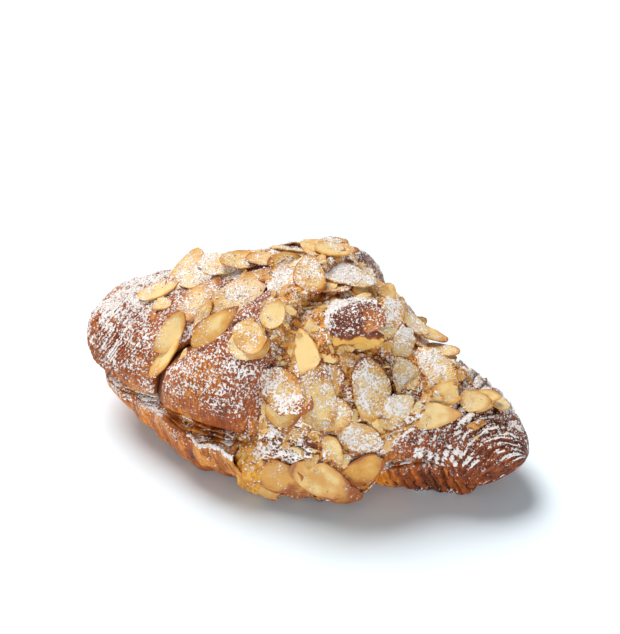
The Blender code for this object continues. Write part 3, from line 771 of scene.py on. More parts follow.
def measured(obj: Object) -> tuple[Points, Points]:
    """The object's points in millimetres, and the direction that the surface faces at each."""
    return points_of(obj) / MM, read(obj.data.vertex_normals, "vector", 3)


def grid(along: int, across: int) -> tuple[Object, Points, Points]:
    """A flat grid, to be shaped.

    Args:
        along, across: How many faces it has each way.

    Returns:
        The object, and each point's share of the way along and across.
    """
    obj = added(bpy.ops.mesh.primitive_grid_add, x_subdivisions=along, y_subdivisions=across, size=1)
    u, v = (points_of(obj)[:, :2] + 0.5).T
    return obj, u, v


def place_points(obj: Object, points: Points) -> None:
    """Moves the object's points to these places, in metres."""
    obj.data.vertices.foreach_set("co", np.ascontiguousarray(points, np.float32).ravel())
    obj.data.update()


def set_points(obj: Object, points: Points) -> None:
    """Moves a closed object's points and makes it face outwards.

    Args:
        obj: The object.
        points: The places, in metres.
    """
    place_points(obj, points)
    obj.data.calc_loop_triangles()
    corners = read(obj.data.loop_triangles, "vertices", 3, np.int32)
    if np.linalg.det(points[corners]).sum() < 0:
        obj.data.flip_normals()


def smoothed(obj: Object) -> Object:
    """Shades an object smooth.

    Args:
        obj: The object.

    Returns:
        The same object.
    """
    activate(obj)
    bpy.ops.object.shade_smooth()
    return obj


def thicken(obj: Object, thickness: float, offset: float = 0) -> None:
    """Makes a sheet solid.

    Args:
        obj: The sheet.
        thickness: How thick, in millimetres.
        offset: 0 to grow both ways, 1 along its faces' normals and -1 against them.
    """
    activate(obj)
    solid = obj.modifiers.new("thickness", "SOLIDIFY")
    solid.thickness = thickness * MM
    solid.offset = offset
    bpy.ops.object.modifier_apply(modifier=solid.name)


def joined(name: str, objects: Sequence[Object]) -> Object:
    """Joins the objects into one.

    Args:
        name: Name of the piece they become.
        objects: What to join.

    Returns:
        The piece.
    """
    deselect()
    for obj in objects:
        obj.select_set(True)
    bpy.context.view_layer.objects.active = objects[0]
    if len(objects) > 1:
        bpy.ops.object.join()
    objects[0].name = objects[0].data.name = name
    return objects[0]


def paint(obj: Object, **values: Points | float) -> None:
    """Stores named values on the object's points, for its material to read.

    Args:
        obj: The piece.
        values: One value for each point, or one for all.
    """
    count = len(obj.data.vertices)
    for name, value in values.items():
        attribute = obj.data.attributes.new(name, "FLOAT", "POINT")
        attribute.data.foreach_set("value", np.broadcast_to(value, count).astype(np.float32))


def painted_on(obj: Object, name: str) -> Points:
    """The values painted on the object's points under a name."""
    return read(obj.data.attributes[name].data, "value", 1, np.float32)[:, 0]


def wrap_map(obj: Object, across: Points, along: Points) -> None:
    """Gives the object a UV map in millimetres over its skin.

    Args:
        obj: The piece.
        across, along: The coordinates of each point.
    """
    corner = read(obj.data.loops, "vertex_index", 1, np.int32)[:, 0]
    layer = obj.data.uv_layers.new(name="wrap")
    layer.data.foreach_set("uv", pairs(across[corner], along[corner]).astype(np.float32).ravel())


def moulded(name: str, ends: Pair, size: tuple[int, int], point_of: Callable, *more: float) -> tuple:
    """A closed body shaped from a ball whose poles are its ends.

    Args:
        name: The object's name.
        ends: Places of the two poles.
        size: Sections between them, and points round a section.
        point_of, more: From place, share of the way round and more to x, y, z and the rest.

    Returns:
        The object, each point's place, and all that point_of gave.
    """
    rings, around = size
    obj = added(bpy.ops.mesh.primitive_uv_sphere_add, segments=around, ring_count=rings + 1, radius=1)
    obj.name = obj.data.name = name
    co = points_of(obj)
    ring = np.arccos(np.clip(-co[:, 2], -1, 1)) / PI
    share = np.round(np.arctan2(co[:, 1], co[:, 0]) / (2 * PI) * around) % around / around
    place = ends[0] + (ends[1] - ends[0]) * ring
    found = point_of(place, share, *more)
    set_points(obj, np.stack(found[:3], 1) * MM)
    return smoothed(obj), place, found


# ---- Where the icing sugar lies


@dataclass(frozen=True)
class Dusting:
    """How thickly icing sugar covers each part of the surface."""

    even: float = 0.4
    drifts: Grain = Grain(0.22, 16, 3, 61)
    from_side: Pair = (-0.1, 0.2)  # how far it comes from along x and y
    facing: Pair = (-0.85, 0.45)  # from where it starts to hold to where it all stays
    patches: tuple = (
        # x, y, z, radius, how much thicker or thinner it lies there
        (-72, -6, 36, 18, 0.32),
        (-58, 2, 44, 15, 0.4),
        (-34, -22, 40, 14, 0.12),
        (-22, -38, 20, 8, -0.3),
        (-34, -35, 18, 7, -0.2),
        (-78, -17, 25, 4, -0.5),
        (-47, -33, 27, 5, 0.9),
        (-62, -27, 28, 10, 0.5),
        (-24, -26, 50, 10, -0.12),
        (10, -34, 46, 12, -0.15),
        (10, -37, 34, 14, 0.3),
        (56, -4, 36, 16, 0.22),
        (75, -8, 12, 12, -0.25),
    )

    def at(self, points: Points, normals: Points) -> Points:
        """The cover at places on the surface.

        Args:
            points, normals: The surface, in millimetres.

        Returns:
            A share from 0, bare, to 1, thick.
        """
        cover = self.even + self.drifts.on(points)
        for *middle, radius, more in self.patches:
            cover = cover + more * bell(np.linalg.norm(points - middle, axis=1) / radius)
        facing = normals[:, 2] + self.from_side[1] * normals[:, 1] + self.from_side[0] * normals[:, 0]
        return np.clip(cover * ramp(facing, *self.facing), 0, 1)


# ---- Shader wiring


class Wire:
    """A shader value: arithmetic on it adds the Math nodes."""

    def __init__(self, recipe: Recipe, socket: bpy.types.NodeSocket) -> None:
        """Keeps the recipe that it belongs to and its socket."""
        self.recipe = recipe
        self.socket = socket

    def __add__(self, other: Wire | float) -> Wire:
        """The sum."""
        return self.recipe.maths("ADD", self, other)

    def __radd__(self, other: float) -> Wire:
        """The sum, with the number first."""
        return self.recipe.maths("ADD", other, self)

    def __sub__(self, other: Wire | float) -> Wire:
        """The difference."""
        return self.recipe.maths("SUBTRACT", self, other)

    def __mul__(self, other: Wire | float) -> Wire:
        """The product."""
        return self.recipe.maths("MULTIPLY", self, other)


@dataclass(frozen=True)
class Pattern:
    """Fine noise in a finish."""

    pitch: float | Pair  # millimetres to a lump, or to one across and along the skin
    detail: float  # finer layers
    roughness: float  # strength of each finer layer
    pull: float = 1.0  # how strongly it changes the tone


@dataclass(frozen=True)
class Film:
    """How icing sugar lies on a finish."""

    grain: float  # millimetres to a speck
    patchy: float = 1.4  # how much the specks gather in clumps
    haze: float = 0.14  # how much a thick cover whitens what lies between the specks
    clump: float = 4.5  # specks to a clump


SUGAR_WHITE = srgb(250, 243, 238)


class Recipe:
    """One material's node tree."""

    def __init__(self, name: str, roughness: float = 0.5, specular: float = 0.5) -> None:
        """Starts a material.

        Args:
            name: Its name.
            roughness, specular: How rough it is, and how strongly it reflects.
        """
        self.material = bpy.data.materials.new(name)
        self.material.use_nodes = True
        self.tree = self.material.node_tree
        self.place = self.add("TexCoord").outputs["Object"]
        self.shader = self.tree.nodes["Principled BSDF"]
        self.shader.inputs["Roughness"].default_value = roughness
        self.shader.inputs["Specular IOR Level"].default_value = specular

    def feed(self, socket: bpy.types.NodeSocket, value: object) -> None:
        """Gives a socket its value.

        Args:
            socket: The socket.
            value: A wire to link to it, or a value.
        """
        if isinstance(value, Wire):
            self.tree.links.new(value.socket, socket)
        else:
            socket.default_value = (*value, 1) if socket.type == "RGBA" and len(value) == 3 else value

    def add(self, kind: str, settings: dict | None = None, inputs: dict | None = None) -> bpy.types.Node:
        """Adds a node.

        Args:
            kind: Its type, without the ShaderNode in front.
            settings: Its own settings, set first.
            inputs: Values or wires for its sockets, by name or number.

        Returns:
            The node.
        """
        node = self.tree.nodes.new("ShaderNode" + kind)
        for key, value in (settings or {}).items():
            setattr(node, key, value)
        for key, value in (inputs or {}).items():
            self.feed(node.inputs[key], value)
        return node

    def maths(self, operation: str, first: Wire | float, second: Wire | float) -> Wire:
        """A Math node on two values."""
        node = self.add("Math", {"operation": operation}, {0: first, 1: second})
        return Wire(self, node.outputs[0])

    def painted(self, name: str) -> Wire:
        """A value stored on the piece's points."""
        return Wire(self, self.add("Attribute", {"attribute_name": name}).outputs["Fac"])

    def noise(self, pattern: Pattern) -> Wire:
        """Noise from 0 to 1.

        Args:
            pattern: Which, drawn out along the wrap map if it has two pitches.

        Returns:
            The noise.
        """
        inputs = {"Detail": pattern.detail, "Roughness": pattern.roughness}
        if isinstance(pattern.pitch, tuple):
            across, along = pattern.pitch
            uv = Wire(self, self.add("UVMap", {"uv_map": "wrap"}).outputs["UV"])
            shares = {0: uv, 1: (1 / across, 1 / along, 0)}
            scaled = self.add("VectorMath", {"operation": "MULTIPLY"}, shares)
            inputs |= {"Vector": Wire(self, scaled.outputs[0]), "Scale": 1}
        else:
            inputs |= {"Vector": Wire(self, self.place), "Scale": 1 / (pattern.pitch * MM)}
        return Wire(self, self.add("TexNoise", {}, inputs).outputs[0])

    def pull(self, noise: Wire, pattern: Pattern) -> Wire:
        """How far the noise changes the tone, as much up as down."""
        return (noise - 0.5) * pattern.pull

    def step(self, value: Wire, low: float, high: float) -> Wire:
        """0 below low, 1 above high, smooth between."""
        inputs = {"Value": value, "From Min": low, "From Max": high}
        return Wire(self, self.add("MapRange", {"interpolation_type": "SMOOTHSTEP"}, inputs).outputs[0])

    def mix(self, share: Wire | float, first: Wire | Colour, second: Wire | Colour) -> Wire:
        """A colour between two."""
        node = self.add("Mix", {"data_type": "RGBA"}, {0: share, 6: first, 7: second})
        return Wire(self, node.outputs[2])

    def toned(self, tone: Wire, colours: Sequence[Colour], steps: Sequence[Pair]) -> Wire:
        """A colour that goes through several as the tone rises.

        Args:
            tone: What chooses it.
            colours, steps: The colours, and from where to where the tone goes over to each next one.

        Returns:
            The colour.
        """
        colour = colours[0]
        for limits, more in zip(steps, colours[1:]):
            colour = self.mix(self.step(tone, *limits), colour, more)
        return colour

    def finished(self, colour: Wire, roughness: Wire, height: Wire, distance: float) -> bpy.types.Material:
        """Feeds the shader.

        Args:
            colour, roughness: The base colour and how rough it is.
            height, distance: Relief in shading, 0 to 1, and its millimetres.

        Returns:
            The material.
        """
        bump = self.add("Bump", {}, {"Height": height, "Distance": distance * MM, "Strength": 1.0})
        self.feed(self.shader.inputs["Base Color"], colour)
        self.feed(self.shader.inputs["Roughness"], roughness)
        self.feed(self.shader.inputs["Normal"], Wire(self, bump.outputs[0]))
        return self.material

    def dusted(self, under: Wire, film: Film) -> tuple[Wire, Wire]:
        """Icing sugar in fine specks and clumps over a colour.

        Args:
            under: The colour below.
            film: How the sugar lies.

        Returns:
            The dusted colour, and where the sugar is.
        """
        dust = self.painted("sugar")
        fine = self.noise(Pattern(film.grain, 2.0, 0.6))
        clumps = Pattern(film.clump * film.grain, 1.5, 0.5, film.patchy)
        level = dust + self.pull(self.noise(clumps), clumps)
        specks = self.step(fine + (level - 0.5) * 0.38, 0.495, 0.525) * self.step(dust, 0.02, 0.12)
        haze = self.step(level, 0.4, 1.6) * film.haze
        veiled = self.mix(haze, under, SUGAR_WHITE)
        return self.mix(specks * self.step(level + fine, 0.2, 1.3), veiled, SUGAR_WHITE), specks


# ---- Finishes


@dataclass(frozen=True)
class CrustFinish:
    """Baked laminated dough, dusted with icing sugar."""

    name: str
    golden: Colour
    brown: Colour
    dark: Colour
    # deep: colour of the fine cracks, and of the painted shade in creases and crevices
    deep: Colour = srgb(64, 26, 12)
    steps: tuple[Pair, Pair] = ((0.05, 0.5), (0.5, 1.05))
    roughness: float = 0.5
    mottle: Pattern = Pattern(7, 3.0, 0.6, 1.0)
    fleck: Pattern = Pattern(1.6, 4.0, 0.75, 1.0)
    streak: Pattern = Pattern((1.0, 9.0), 3.0, 0.6, 1.3)
    crack: Pattern = Pattern((0.55, 5.0), 2.0, 0.5)
    cracks: float = 0.35  # how dark the fine cracks are
    film: Film = Film(0.9, 0.9)
    relief: float = 0.5  # millimetres

    def material(self) -> bpy.types.Material:
        """Makes the material, which reads from the piece's points how dark it is baked and shaded, the
        painted shade of its creases, and its sugar.

        Returns:
            The material.
        """
        r = Recipe(self.name, self.roughness, 0.35)
        fleck, streak = r.noise(self.fleck), r.noise(self.streak)
        tone = r.painted("bake") + r.pull(r.noise(self.mottle), self.mottle)
        tone = tone + r.pull(streak, self.streak) + r.pull(fleck, self.fleck)
        colour = r.toned(tone, (self.golden, self.brown, self.dark), self.steps)
        crack = r.step(r.noise(self.crack), 0.57, 0.68)
        colour = r.mix(crack * self.cracks, colour, self.deep)
        # painted shade: creases and crevices are darkened toward the deep colour
        colour = r.mix(r.painted("crease"), colour, self.deep)
        colour, specks = r.dusted(colour, self.film)
        relief = streak * 0.3 + fleck * 0.4 + specks * 0.5 - crack * 0.4
        return r.finished(colour, self.roughness + specks * 0.35, relief, self.relief)


@dataclass(frozen=True)
class FrangipaneFinish:
    """Baked almond cream, browned where it stands out."""

    name: str
    cream: Colour
    golden: Colour
    brown: Colour
    steps: tuple[Pair, Pair] = ((0.1, 0.5), (0.55, 1.0))
    mottle: Pattern = Pattern(4, 3.0, 0.6, 1.2)
    crumb: Pattern = Pattern(1.1, 3.0, 0.65, 1.9)
    film: Film = Film(1.0)
    relief: float = 0.45  # millimetres

    def material(self) -> bpy.types.Material:
        """Makes the material, which reads from the piece's points how dark it is baked and shaded, and its
        sugar.

        Returns:
            The material.
        """
        r = Recipe(self.name, 0.55, 0.35)
        crumb = r.noise(self.crumb)
        tone = r.painted("bake") + r.pull(r.noise(self.mottle), self.mottle) + r.pull(crumb, self.crumb)
        colour = r.toned(tone, (self.cream, self.golden, self.brown), self.steps)
        colour, specks = r.dusted(colour, self.film)
        return r.finished(colour, 0.5 + specks * 0.35, crumb * 0.6 + specks * 0.5, self.relief)


@dataclass(frozen=True)
class AlmondFinish:
    """Toasted slices of blanched almond."""

    name: str = "flaked_almond"
    cream: Colour = srgb(242, 208, 142)
    golden: Colour = srgb(219, 160, 78)
    toasted: Colour = srgb(166, 90, 38)
    steps: tuple[Pair, Pair] = ((0.1, 0.6), (0.6, 1.1))
    mottle: Pattern = Pattern(5, 2.0, 0.5, 1.1)
    fibre: Pattern = Pattern((0.7, 5.0), 2.0, 0.5, 0.3)
    fleck: Pattern = Pattern(0.9, 2.0, 0.6, 3.0)  # shows under the sugar
    film: Film = Film(0.75, 1.1, 0.4)
    relief: float = 0.4  # millimetres

    def material(self) -> bpy.types.Material:
        """Makes the material, which reads rim, toast and sugar from the slices' points.

        Returns:
            The material.
        """
        r = Recipe(self.name, 0.45, 0.4)
        fibre, fleck = r.noise(self.fibre), r.noise(self.fleck)
        toast = r.painted("toast") + r.pull(r.noise(self.mottle), self.mottle) + r.pull(fibre, self.fibre)
        toast = toast + r.painted("sugar") * (r.pull(fleck, self.fleck) + 0.15)
        rim = r.painted("rim")
        tone = toast + r.step(rim, 0.88, 1.0) * 0.3 + r.step(rim, 0.5, 1.0) * 0.25 - 0.1
        colour = r.toned(tone, (self.cream, self.golden, self.toasted), self.steps)
        colour, specks = r.dusted(colour, self.film)
        relief = fibre * 0.25 + specks * 0.6 + fleck * 0.3
        return r.finished(colour, 0.42 + specks * 0.4, relief, self.relief)


@dataclass(frozen=True)
class SugarFinish:
    """Grains of icing sugar."""

    name: str = "icing_sugar"
    colour: Colour = srgb(251, 246, 242)
    shade: Colour = srgb(232, 212, 196)
    tint: Pattern = Pattern(2.5, 1.0, 0.5)
    tinted: float = 0.35

    def material(self) -> bpy.types.Material:
        """Makes the material.

        Returns:
            The material.
        """
        r = Recipe(self.name, 0.8, 0.3)
        tint = r.noise(self.tint) * self.tinted
        r.feed(r.shader.inputs["Base Color"], r.mix(tint, self.colour, self.shade))
        return r.material


# ---- Sub-assemblies


class Part(Enum):
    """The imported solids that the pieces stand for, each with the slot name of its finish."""

    UPPER = ("croissant_upper_half", "crust_upper")
    LOWER = ("croissant_lower_half", "crust_lower")
    FILLING = ("frangipane_filling", "filling")
    TOPPING = ("frangipane_topping", "topping")


def fit(piece: Object, part: Part, material: bpy.types.Material) -> Object:
    """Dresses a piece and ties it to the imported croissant.

    Args:
        piece: The finished piece.
        part: The solid that it stands for.
        material: Its material.

    Returns:
        The piece.
    """
    node, slot = part.value
    piece.data.materials.clear()
    piece.data.materials.append(material)
    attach(piece, "root")
    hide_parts(node)
    LOG.info("%s: %d faces", piece.name, len(piece.data.polygons))
    return piece


@dataclass
class UpperCrust:
    """The upper half's crust with its rolls, leaves and folds."""

    form: UpperForm
    dusting: Dusting
    size: tuple[int, int] = (452, 216)  # sections, points round each
    arc: int = 192  # of the points round a section, those on the crust
    baked: float = 0.36
    baked_right: float = 0.46
    baked_left: float = 0.18
    # painted shade low between the folds and leaves, and painted light on their tops
    fold_shade: float = 0.3
    baked_at_middle: float = 0.3  # on the roll's edge that crosses the crown at x = -1
    baked_on_top: float = 0.25
    paler_low_front: float = 0.25
    sugar_on_folds: Pair = (0.5, 0.65)  # least, and how much more on a fold's back
    sugar_off_folds: float = 0.85
    sugar_lines: Grain = Grain(1.0, 7, 3, 67)
    sugar_gaps: Grain = Grain(1.0, 4, 3, 69)
    gap_depth: float = 0.45
    bar_breaks: Grain = Grain(1.0, 8, 3, 65)
    bar_cover: float = 1.15
    # painted shade: how far the crevices between the rolls are darkened toward the deep colour
    crease_shade: float = 0.85
    finish: CrustFinish = CrustFinish(
        "upper_crust", srgb(218, 136, 48), srgb(162, 78, 26), srgb(88, 36, 14)
    )

    def baked_and_shaded(self, points: Points, normals: Points, place: Points, x: Points, fold: Points) -> Points:
        """How dark the crust is baked, with painted shade low between the folds and leaves and painted
        light on their tops.

        Args:
            points, normals: The surface.
            place, x, fold: As UpperForm.point takes and gives them.

        Returns:
            0 for golden to 1 for dark.
        """
        bake = self.baked + self.baked_right * ramp(x, 36, 54) + self.baked_left * ramp(-x, 40, 66)
        # painted shade low between the folds and leaves, and painted light on their tops
        bake = bake + self.fold_shade * (0.5 - fold)
        bake = bake + self.baked_at_middle * bell((place + 1) / 2.2)
        bake = bake + self.baked_on_top * ramp(points[:, 2], 46, 58)
        low_front = (1 - ramp(points[:, 2], 18, 30)) * ramp(-normals[:, 1], -0.1, 0.5)
        return bake - self.paler_low_front * low_front * (1 - ramp(x, 20, 45))

    def cover(self, points: Points, normals: Points, x: Points, tilt: Points, fold: Points) -> Points:
        """How thick the sugar lies: in patches, with gaps on the left tip and bars on the right folds.

        Args:
            points, normals: The surface.
            x, tilt, fold: As UpperForm.point gives them.

        Returns:
            0 for bare to 1 for thick.
        """
        sugar = self.dusting.at(points, normals)
        tips = ramp(np.abs(x - 5), 40, 52)
        lines = ramp(self.sugar_lines.on(points), -0.4, 0.3)
        on_fold = self.sugar_on_folds[0] + self.sugar_on_folds[1] * ramp(fold, 0.3, 0.8)
        off_fold = self.sugar_off_folds
        sugar = sugar * (1 - tips + tips * (off_fold + (on_fold - off_fold) * lines))
        sugar = sugar - self.gap_depth * ramp(-x, 42, 54) * ramp(self.sugar_gaps.on(points), 0.0, 0.5)
        unbroken = ramp(self.bar_breaks.on(along_lines(self.form.fold_at(x, tilt), tilt)), -0.2, 0.0)
        bars = ramp(x, 43, 51) * ramp(fold, 0.6, 0.74) * ramp(normals[:, 2], -0.4, 0.15)
        return np.maximum(sugar, self.bar_cover * bars * unbroken)

    def build(self) -> Object:
        """Makes the piece.

        Returns:
            The piece.
        """
        ends, share = ends_of(self.form.stations), self.arc / self.size[1]
        obj, place, found = moulded("upper_crust", ends, self.size, self.form.point, share)
        x, _, _, tilt, crevice, fold = found
        points, normals = measured(obj)
        bake = self.baked_and_shaded(points, normals, place, x, fold)
        sugar = self.cover(points, normals, x, tilt, fold) * (1 - ramp(crevice, 0.8, 2.5))
        # painted shade in the crevices between the rolls
        paint(obj, bake=bake, crease=self.crease_shade * ramp(crevice, 0.9, 3.6), sugar=sugar)
        wrap_map(obj, x, UPPER_GIRTH * tilt)
        return fit(obj, Part.UPPER, self.finish.material())


@dataclass
class LowerCrust:
    """The lower half's crust with its frilly rim."""

    form: LowerForm
    dusting: Dusting
    size: tuple[int, int] = (430, 200)  # sections, points round each
    arc: int = 150  # of the points round a section, those on the crust
    stripe_slant: float = 0.2
    stripe_stretch: float = 0.15
    stripes: Grain = Grain(0.55, 4.2, 3, 71)
    baked: float = 0.34
    baked_foot: float = 0.2
    paler_rim: float = 0.2
    baked_right: float = 0.18
    # painted shade: how much darker the hollows of the fine relief are
    hollow_shade: float = 0.4
    # painted shade: how far the hollows are darkened toward the deep colour
    crease_shade: float = 0.6
    rim_width: float = 0.02  # share of the way round the crust
    sugar_share: float = 0.55  # of what would lie on it in the open
    sugar_on_rim: float = 0.2
    sugar_at_foot: float = 0.3
    sugar_specks: float = 0.05
    speck_patches: Grain = Grain(1.0, 5, 2, 75)
    skin: float = 60  # of the wrap map, from rim to rim
    finish: CrustFinish = CrustFinish(
        "lower_crust", srgb(226, 138, 38), srgb(166, 80, 20), srgb(80, 34, 12), roughness=0.42, cracks=0.9
    )

    def build(self) -> Object:
        """Makes the piece.

        Returns:
            The piece.
        """
        ends, share = ends_of(self.form.stations), self.arc / self.size[1]
        obj, _, found = moulded("lower_crust", ends, self.size, self.form.point, share)
        x, _, z, turn, fine = found
        points, normals = measured(obj)
        slanted = x + self.stripe_slant * z
        stripe = self.stripes.on(pairs(slanted, self.stripe_stretch * z))
        bake = self.baked + stripe + self.baked_foot * (1 - ramp(z, 1, 7))
        bake = bake - self.paler_rim * ramp(z, 15, 20)
        # painted shade in the hollows of the fine relief, added to the baking
        bake = bake + self.baked_right * ramp(x, 34, 52) + self.hollow_shade * ramp(-fine, 0.2, 0.9)
        rim = bell((turn - 1) / self.rim_width) + bell(turn / self.rim_width)
        sugar = self.sugar_share * self.dusting.at(points, normals) * ramp(z, 10, 18)
        sugar = sugar + self.sugar_on_rim * rim
        foot = ramp(x, 30, 44) * (1 - ramp(z, 1.5, 4.5)) * ramp(turn, 0.5, 0.7)
        specks = self.sugar_specks * ramp(self.speck_patches.on(points), 0.1, 0.6)
        sugar = np.clip(sugar + self.sugar_at_foot * foot + specks, 0, 1)
        # painted shade in the hollows of the fine relief
        paint(obj, bake=bake, crease=self.crease_shade * ramp(-fine, 0.25, 1.0), sugar=sugar)
        wrap_map(obj, slanted, self.skin * turn)
        return fit(obj, Part.LOWER, self.finish.material())


@dataclass
class RimLeaves:
    """Thin torn leaves of dough in the open edge between the halves, in front."""

    upper: UpperForm
    dusting: Dusting
    spans: tuple[tuple[float, float, int], ...] = ((-71, -12, 3), (32, 62, 2))  # ends, how many leaves
    reach: float = 6.0  # how far each runs in under the upper half
    thickness: float = 0.5
    along: int = 420
    across: int = 10
    stagger: Grain = Grain(0.16, 12, 2, 54)
    tear_depth: float = 1.7
    tear_level: float = 0.5  # how much more they stand out than are torn back
    wave: Grain = Grain(0.6, 4, 4, 57)
    droop: float = 0.7
    stripes: Grain = Grain(0.6, 4, 3, 59)
    sugar_share: float = 1.1
    sugar_patches: Grain = Grain(0.8, 3.5, 3, 89)
    curled_span: Pair = (-29, -8.5)
    curled_from: float = -13.5  # where it leaves the wall
    curled_down: float = 0.115  # share of the way round the wall that it covers
    curled_grid: tuple[int, int] = (110, 60)
    curled_thickness: float = 0.7
    curled_tear: Grain = Grain(1.0, 5, 4, 53)
    curled_wave: Grain = Grain(0.4, 2.5, 3, 55)
    curled_stripes: Grain = Grain(0.6, 2.4, 3, 71)
    finish: CrustFinish = CrustFinish(
        "torn_leaves", srgb(224, 148, 62), srgb(170, 90, 32), srgb(92, 40, 14), roughness=0.5
    )

    def edges(self, x: Points) -> tuple[Points, Points, Points, Points]:
        """The rim of the lower half and the front edge of the upper half.

        Args:
            x: Places along the croissant.

        Returns:
            y and z of the rim, then y and z of the edge.
        """
        _, rim_y, rim_z, *_ = self.upper.lower.point(x, np.full_like(x, 1.0), 1.0, 0.0)
        place = np.linspace(*ends_of(self.upper.stations), 500)
        edge_x, edge_y, edge_z, *_ = self.upper.crust(place, np.ones_like(place), detail=0.0)
        order = np.argsort(edge_x)
        edge_y, edge_z = (np.interp(x, edge_x[order], side[order]) for side in (edge_y, edge_z))
        return rim_y, rim_z, edge_y, edge_z

    def leaf(self, span: tuple[float, float, int], number: int) -> Object:
        """One leaf.

        Args:
            span: Its ends along x, and how many leaves lie there.
            number: Which it is, the lowest first.

        Returns:
            The object.
        """
        left, right, count = span
        obj, u, inward = grid(self.along, self.across)
        x = left + (right - left) * u
        rim_y, rim, edge_y, edge_z = self.edges(x)
        line = pairs(x, x * 0 + 37 * number)
        share = np.clip((number + 0.2) / count + self.stagger.on(line), 0.04, 0.96)
        ragged = Grain(self.tear_depth, 6, 4, 51 + number).on(line) - self.tear_level
        ends = ramp(x, left, left + 5) * (1 - ramp(x, right - 4, right))
        y = rim_y + (edge_y - rim_y) * share**0.8 - ragged * ends + self.reach * inward
        wave = self.wave.on(pairs(x, y + 20 * number))
        droop = self.droop * (1 - inward) ** 2 * (1 - share)
        z = rim + 0.35 + (edge_z - rim - 0.4) * share + wave - droop
        place_points(obj, np.stack([x, y, z], 1) * MM)
        thicken(obj, self.thickness)
        points, normals = measured(obj)
        x, y, _ = points.T
        cover = self.sugar_share * self.dusting.at(points, normals) + self.sugar_patches.on(points)
        paint(obj, bake=0.5 + self.stripes.on(pairs(x, y * 2)), crease=0.0, sugar=np.clip(cover, 0, 1))
        wrap_map(obj, x, y)
        return obj

    def curled_leaf(self) -> Object:
        """The outer leaf of the wall, which curls away from it beside the tear.

        Returns:
            The object.
        """
        obj, u, v = grid(*self.curled_grid)
        left, right = self.curled_span
        torn = self.curled_tear.on(pairs(16 * v, 6 * u))
        x = left + (right - left) * u + 2.4 * torn * u**3
        turn = 1 - self.curled_down * v * (1 + 0.12 * torn)
        against = np.minimum(x, self.curled_from)
        _, wall_y, wall_z, *_ = self.upper.lower.point(against, turn, 1.0, 0.6)
        away = 1.4 * ramp(u, 0.05, 0.4) * (1 - 0.8 * v) - 0.4
        away = away + 2.2 * ramp(u, 0.6, 1.0) * (1 - 0.5 * v) + self.curled_wave.on(pairs(x, 9 * v))
        z = wall_z + 0.8 * (1 - v) ** 3 - 0.6 * v * u
        place_points(obj, np.stack([x, wall_y - away, z], 1) * MM)
        thicken(obj, self.curled_thickness)
        x, _, z = measured(obj)[0].T
        slanted = x + 0.2 * z
        bake = 0.22 + self.curled_stripes.on(pairs(slanted, 0.15 * z))
        paint(obj, bake=bake, crease=0.0, sugar=0.12 + 0.8 * ramp(z, 19.2, 20.8))
        wrap_map(obj, slanted, z)
        return obj

    def build(self) -> Object:
        """Makes the piece.

        Returns:
            The piece.
        """
        leaves = [self.leaf(span, number) for span in self.spans for number in range(span[2])]
        leaves.append(self.curled_leaf())
        piece = smoothed(joined("torn_leaves_of_the_rim", leaves))
        return fit(piece, Part.LOWER, self.finish.material())


@dataclass
class Filling:
    """The frangipane between the halves, with the lobe that swells out of the torn place."""

    upper: UpperForm
    dusting: Dusting
    cap: float = 9
    inset: float = 3.5
    lobe_centre: Triple = (-5.2, -37.5, 12.2)
    lobe_half_size: Triple = (6.0, 7.0, 11.2)
    lobe_squareness: float = 0.8
    lobe_swell: Grain = Grain(0.16, 0.5, 2, 83)
    lobe_bumps: Grain = Grain(0.16, 0.22, 4, 87)
    ragged: Grain = Grain(0.8, 5, 3, 81)
    edge_power: float = 0.35  # how square the slab's edge is seen from above
    edge_rounding: float = 0.6  # how square it is in section
    baked: float = 0.45
    browning: Grain = Grain(0.9, 3.0, 3, 85)
    baked_on_top: float = 0.2
    sugar_share: float = 0.8
    size: tuple[int, int] = (240, 96)  # sections, points round each
    finish: FrangipaneFinish = FrangipaneFinish(
        "frangipane_inside", srgb(232, 178, 78), srgb(216, 146, 50), srgb(160, 86, 28)
    )

    def slab_point(self, x: Points, around: Points) -> tuple:
        """A point of the slab, which follows the cut with rounded edges.

        Args:
            x, around: Place along it, and share of the way round the section.

        Returns:
            x, y and z.
        """
        lower = self.upper.lower
        shift_of, front_of, back_of, rim_of, _ = curves_of(lower.stations)
        (filling_of,) = curves_of(self.upper.filling_stations)
        cap = end_rounding(x, self.upper.filling_stations, self.cap, self.cap)
        across, up = np.cos(2 * PI * around), np.sin(2 * PI * around)
        front = front_of(x) - self.inset + (self.inset - 2) * lower.notch_at(x)
        half_width = np.where(across < 0, front, back_of(x) - self.inset) * (0.2 + 0.8 * cap)
        thickness = filling_of(x) * self.upper.filling_reach(x)
        ragged = self.ragged.on(pairs(x, 40 * around))
        y = shift_of(x) + (half_width + ragged) * signed_power(across, self.edge_power)
        rise = thickness / 2 * cap * signed_power(up, self.edge_rounding)
        z = rim_of(x) + self.upper.gap + thickness / 2 + rise
        return x, y, z

    def build(self) -> Object:
        """Makes the piece.

        Returns:
            The piece.
        """
        ends = ends_of(self.upper.filling_stations)
        slab, *_ = moulded("slab", ends, self.size, self.slab_point)
        lobe = added(bpy.ops.mesh.primitive_ico_sphere_add, subdivisions=6, radius=1)
        unit = points_of(lobe)
        swell = 1 + (self.lobe_swell.on(unit) + self.lobe_bumps.on(unit))[:, None]
        shape = signed_power(unit, self.lobe_squareness) * self.lobe_half_size * swell
        set_points(lobe, (shape + self.lobe_centre) * MM)
        obj = smoothed(joined("frangipane_filling_baked", [slab, lobe]))
        points, normals = measured(obj)
        bake = self.baked + self.browning.on(points) + self.baked_on_top * ramp(points[:, 2], 16, 22)
        paint(obj, bake=bake, sugar=self.sugar_share * self.dusting.at(points, normals))
        return fit(obj, Part.FILLING, self.finish.material())


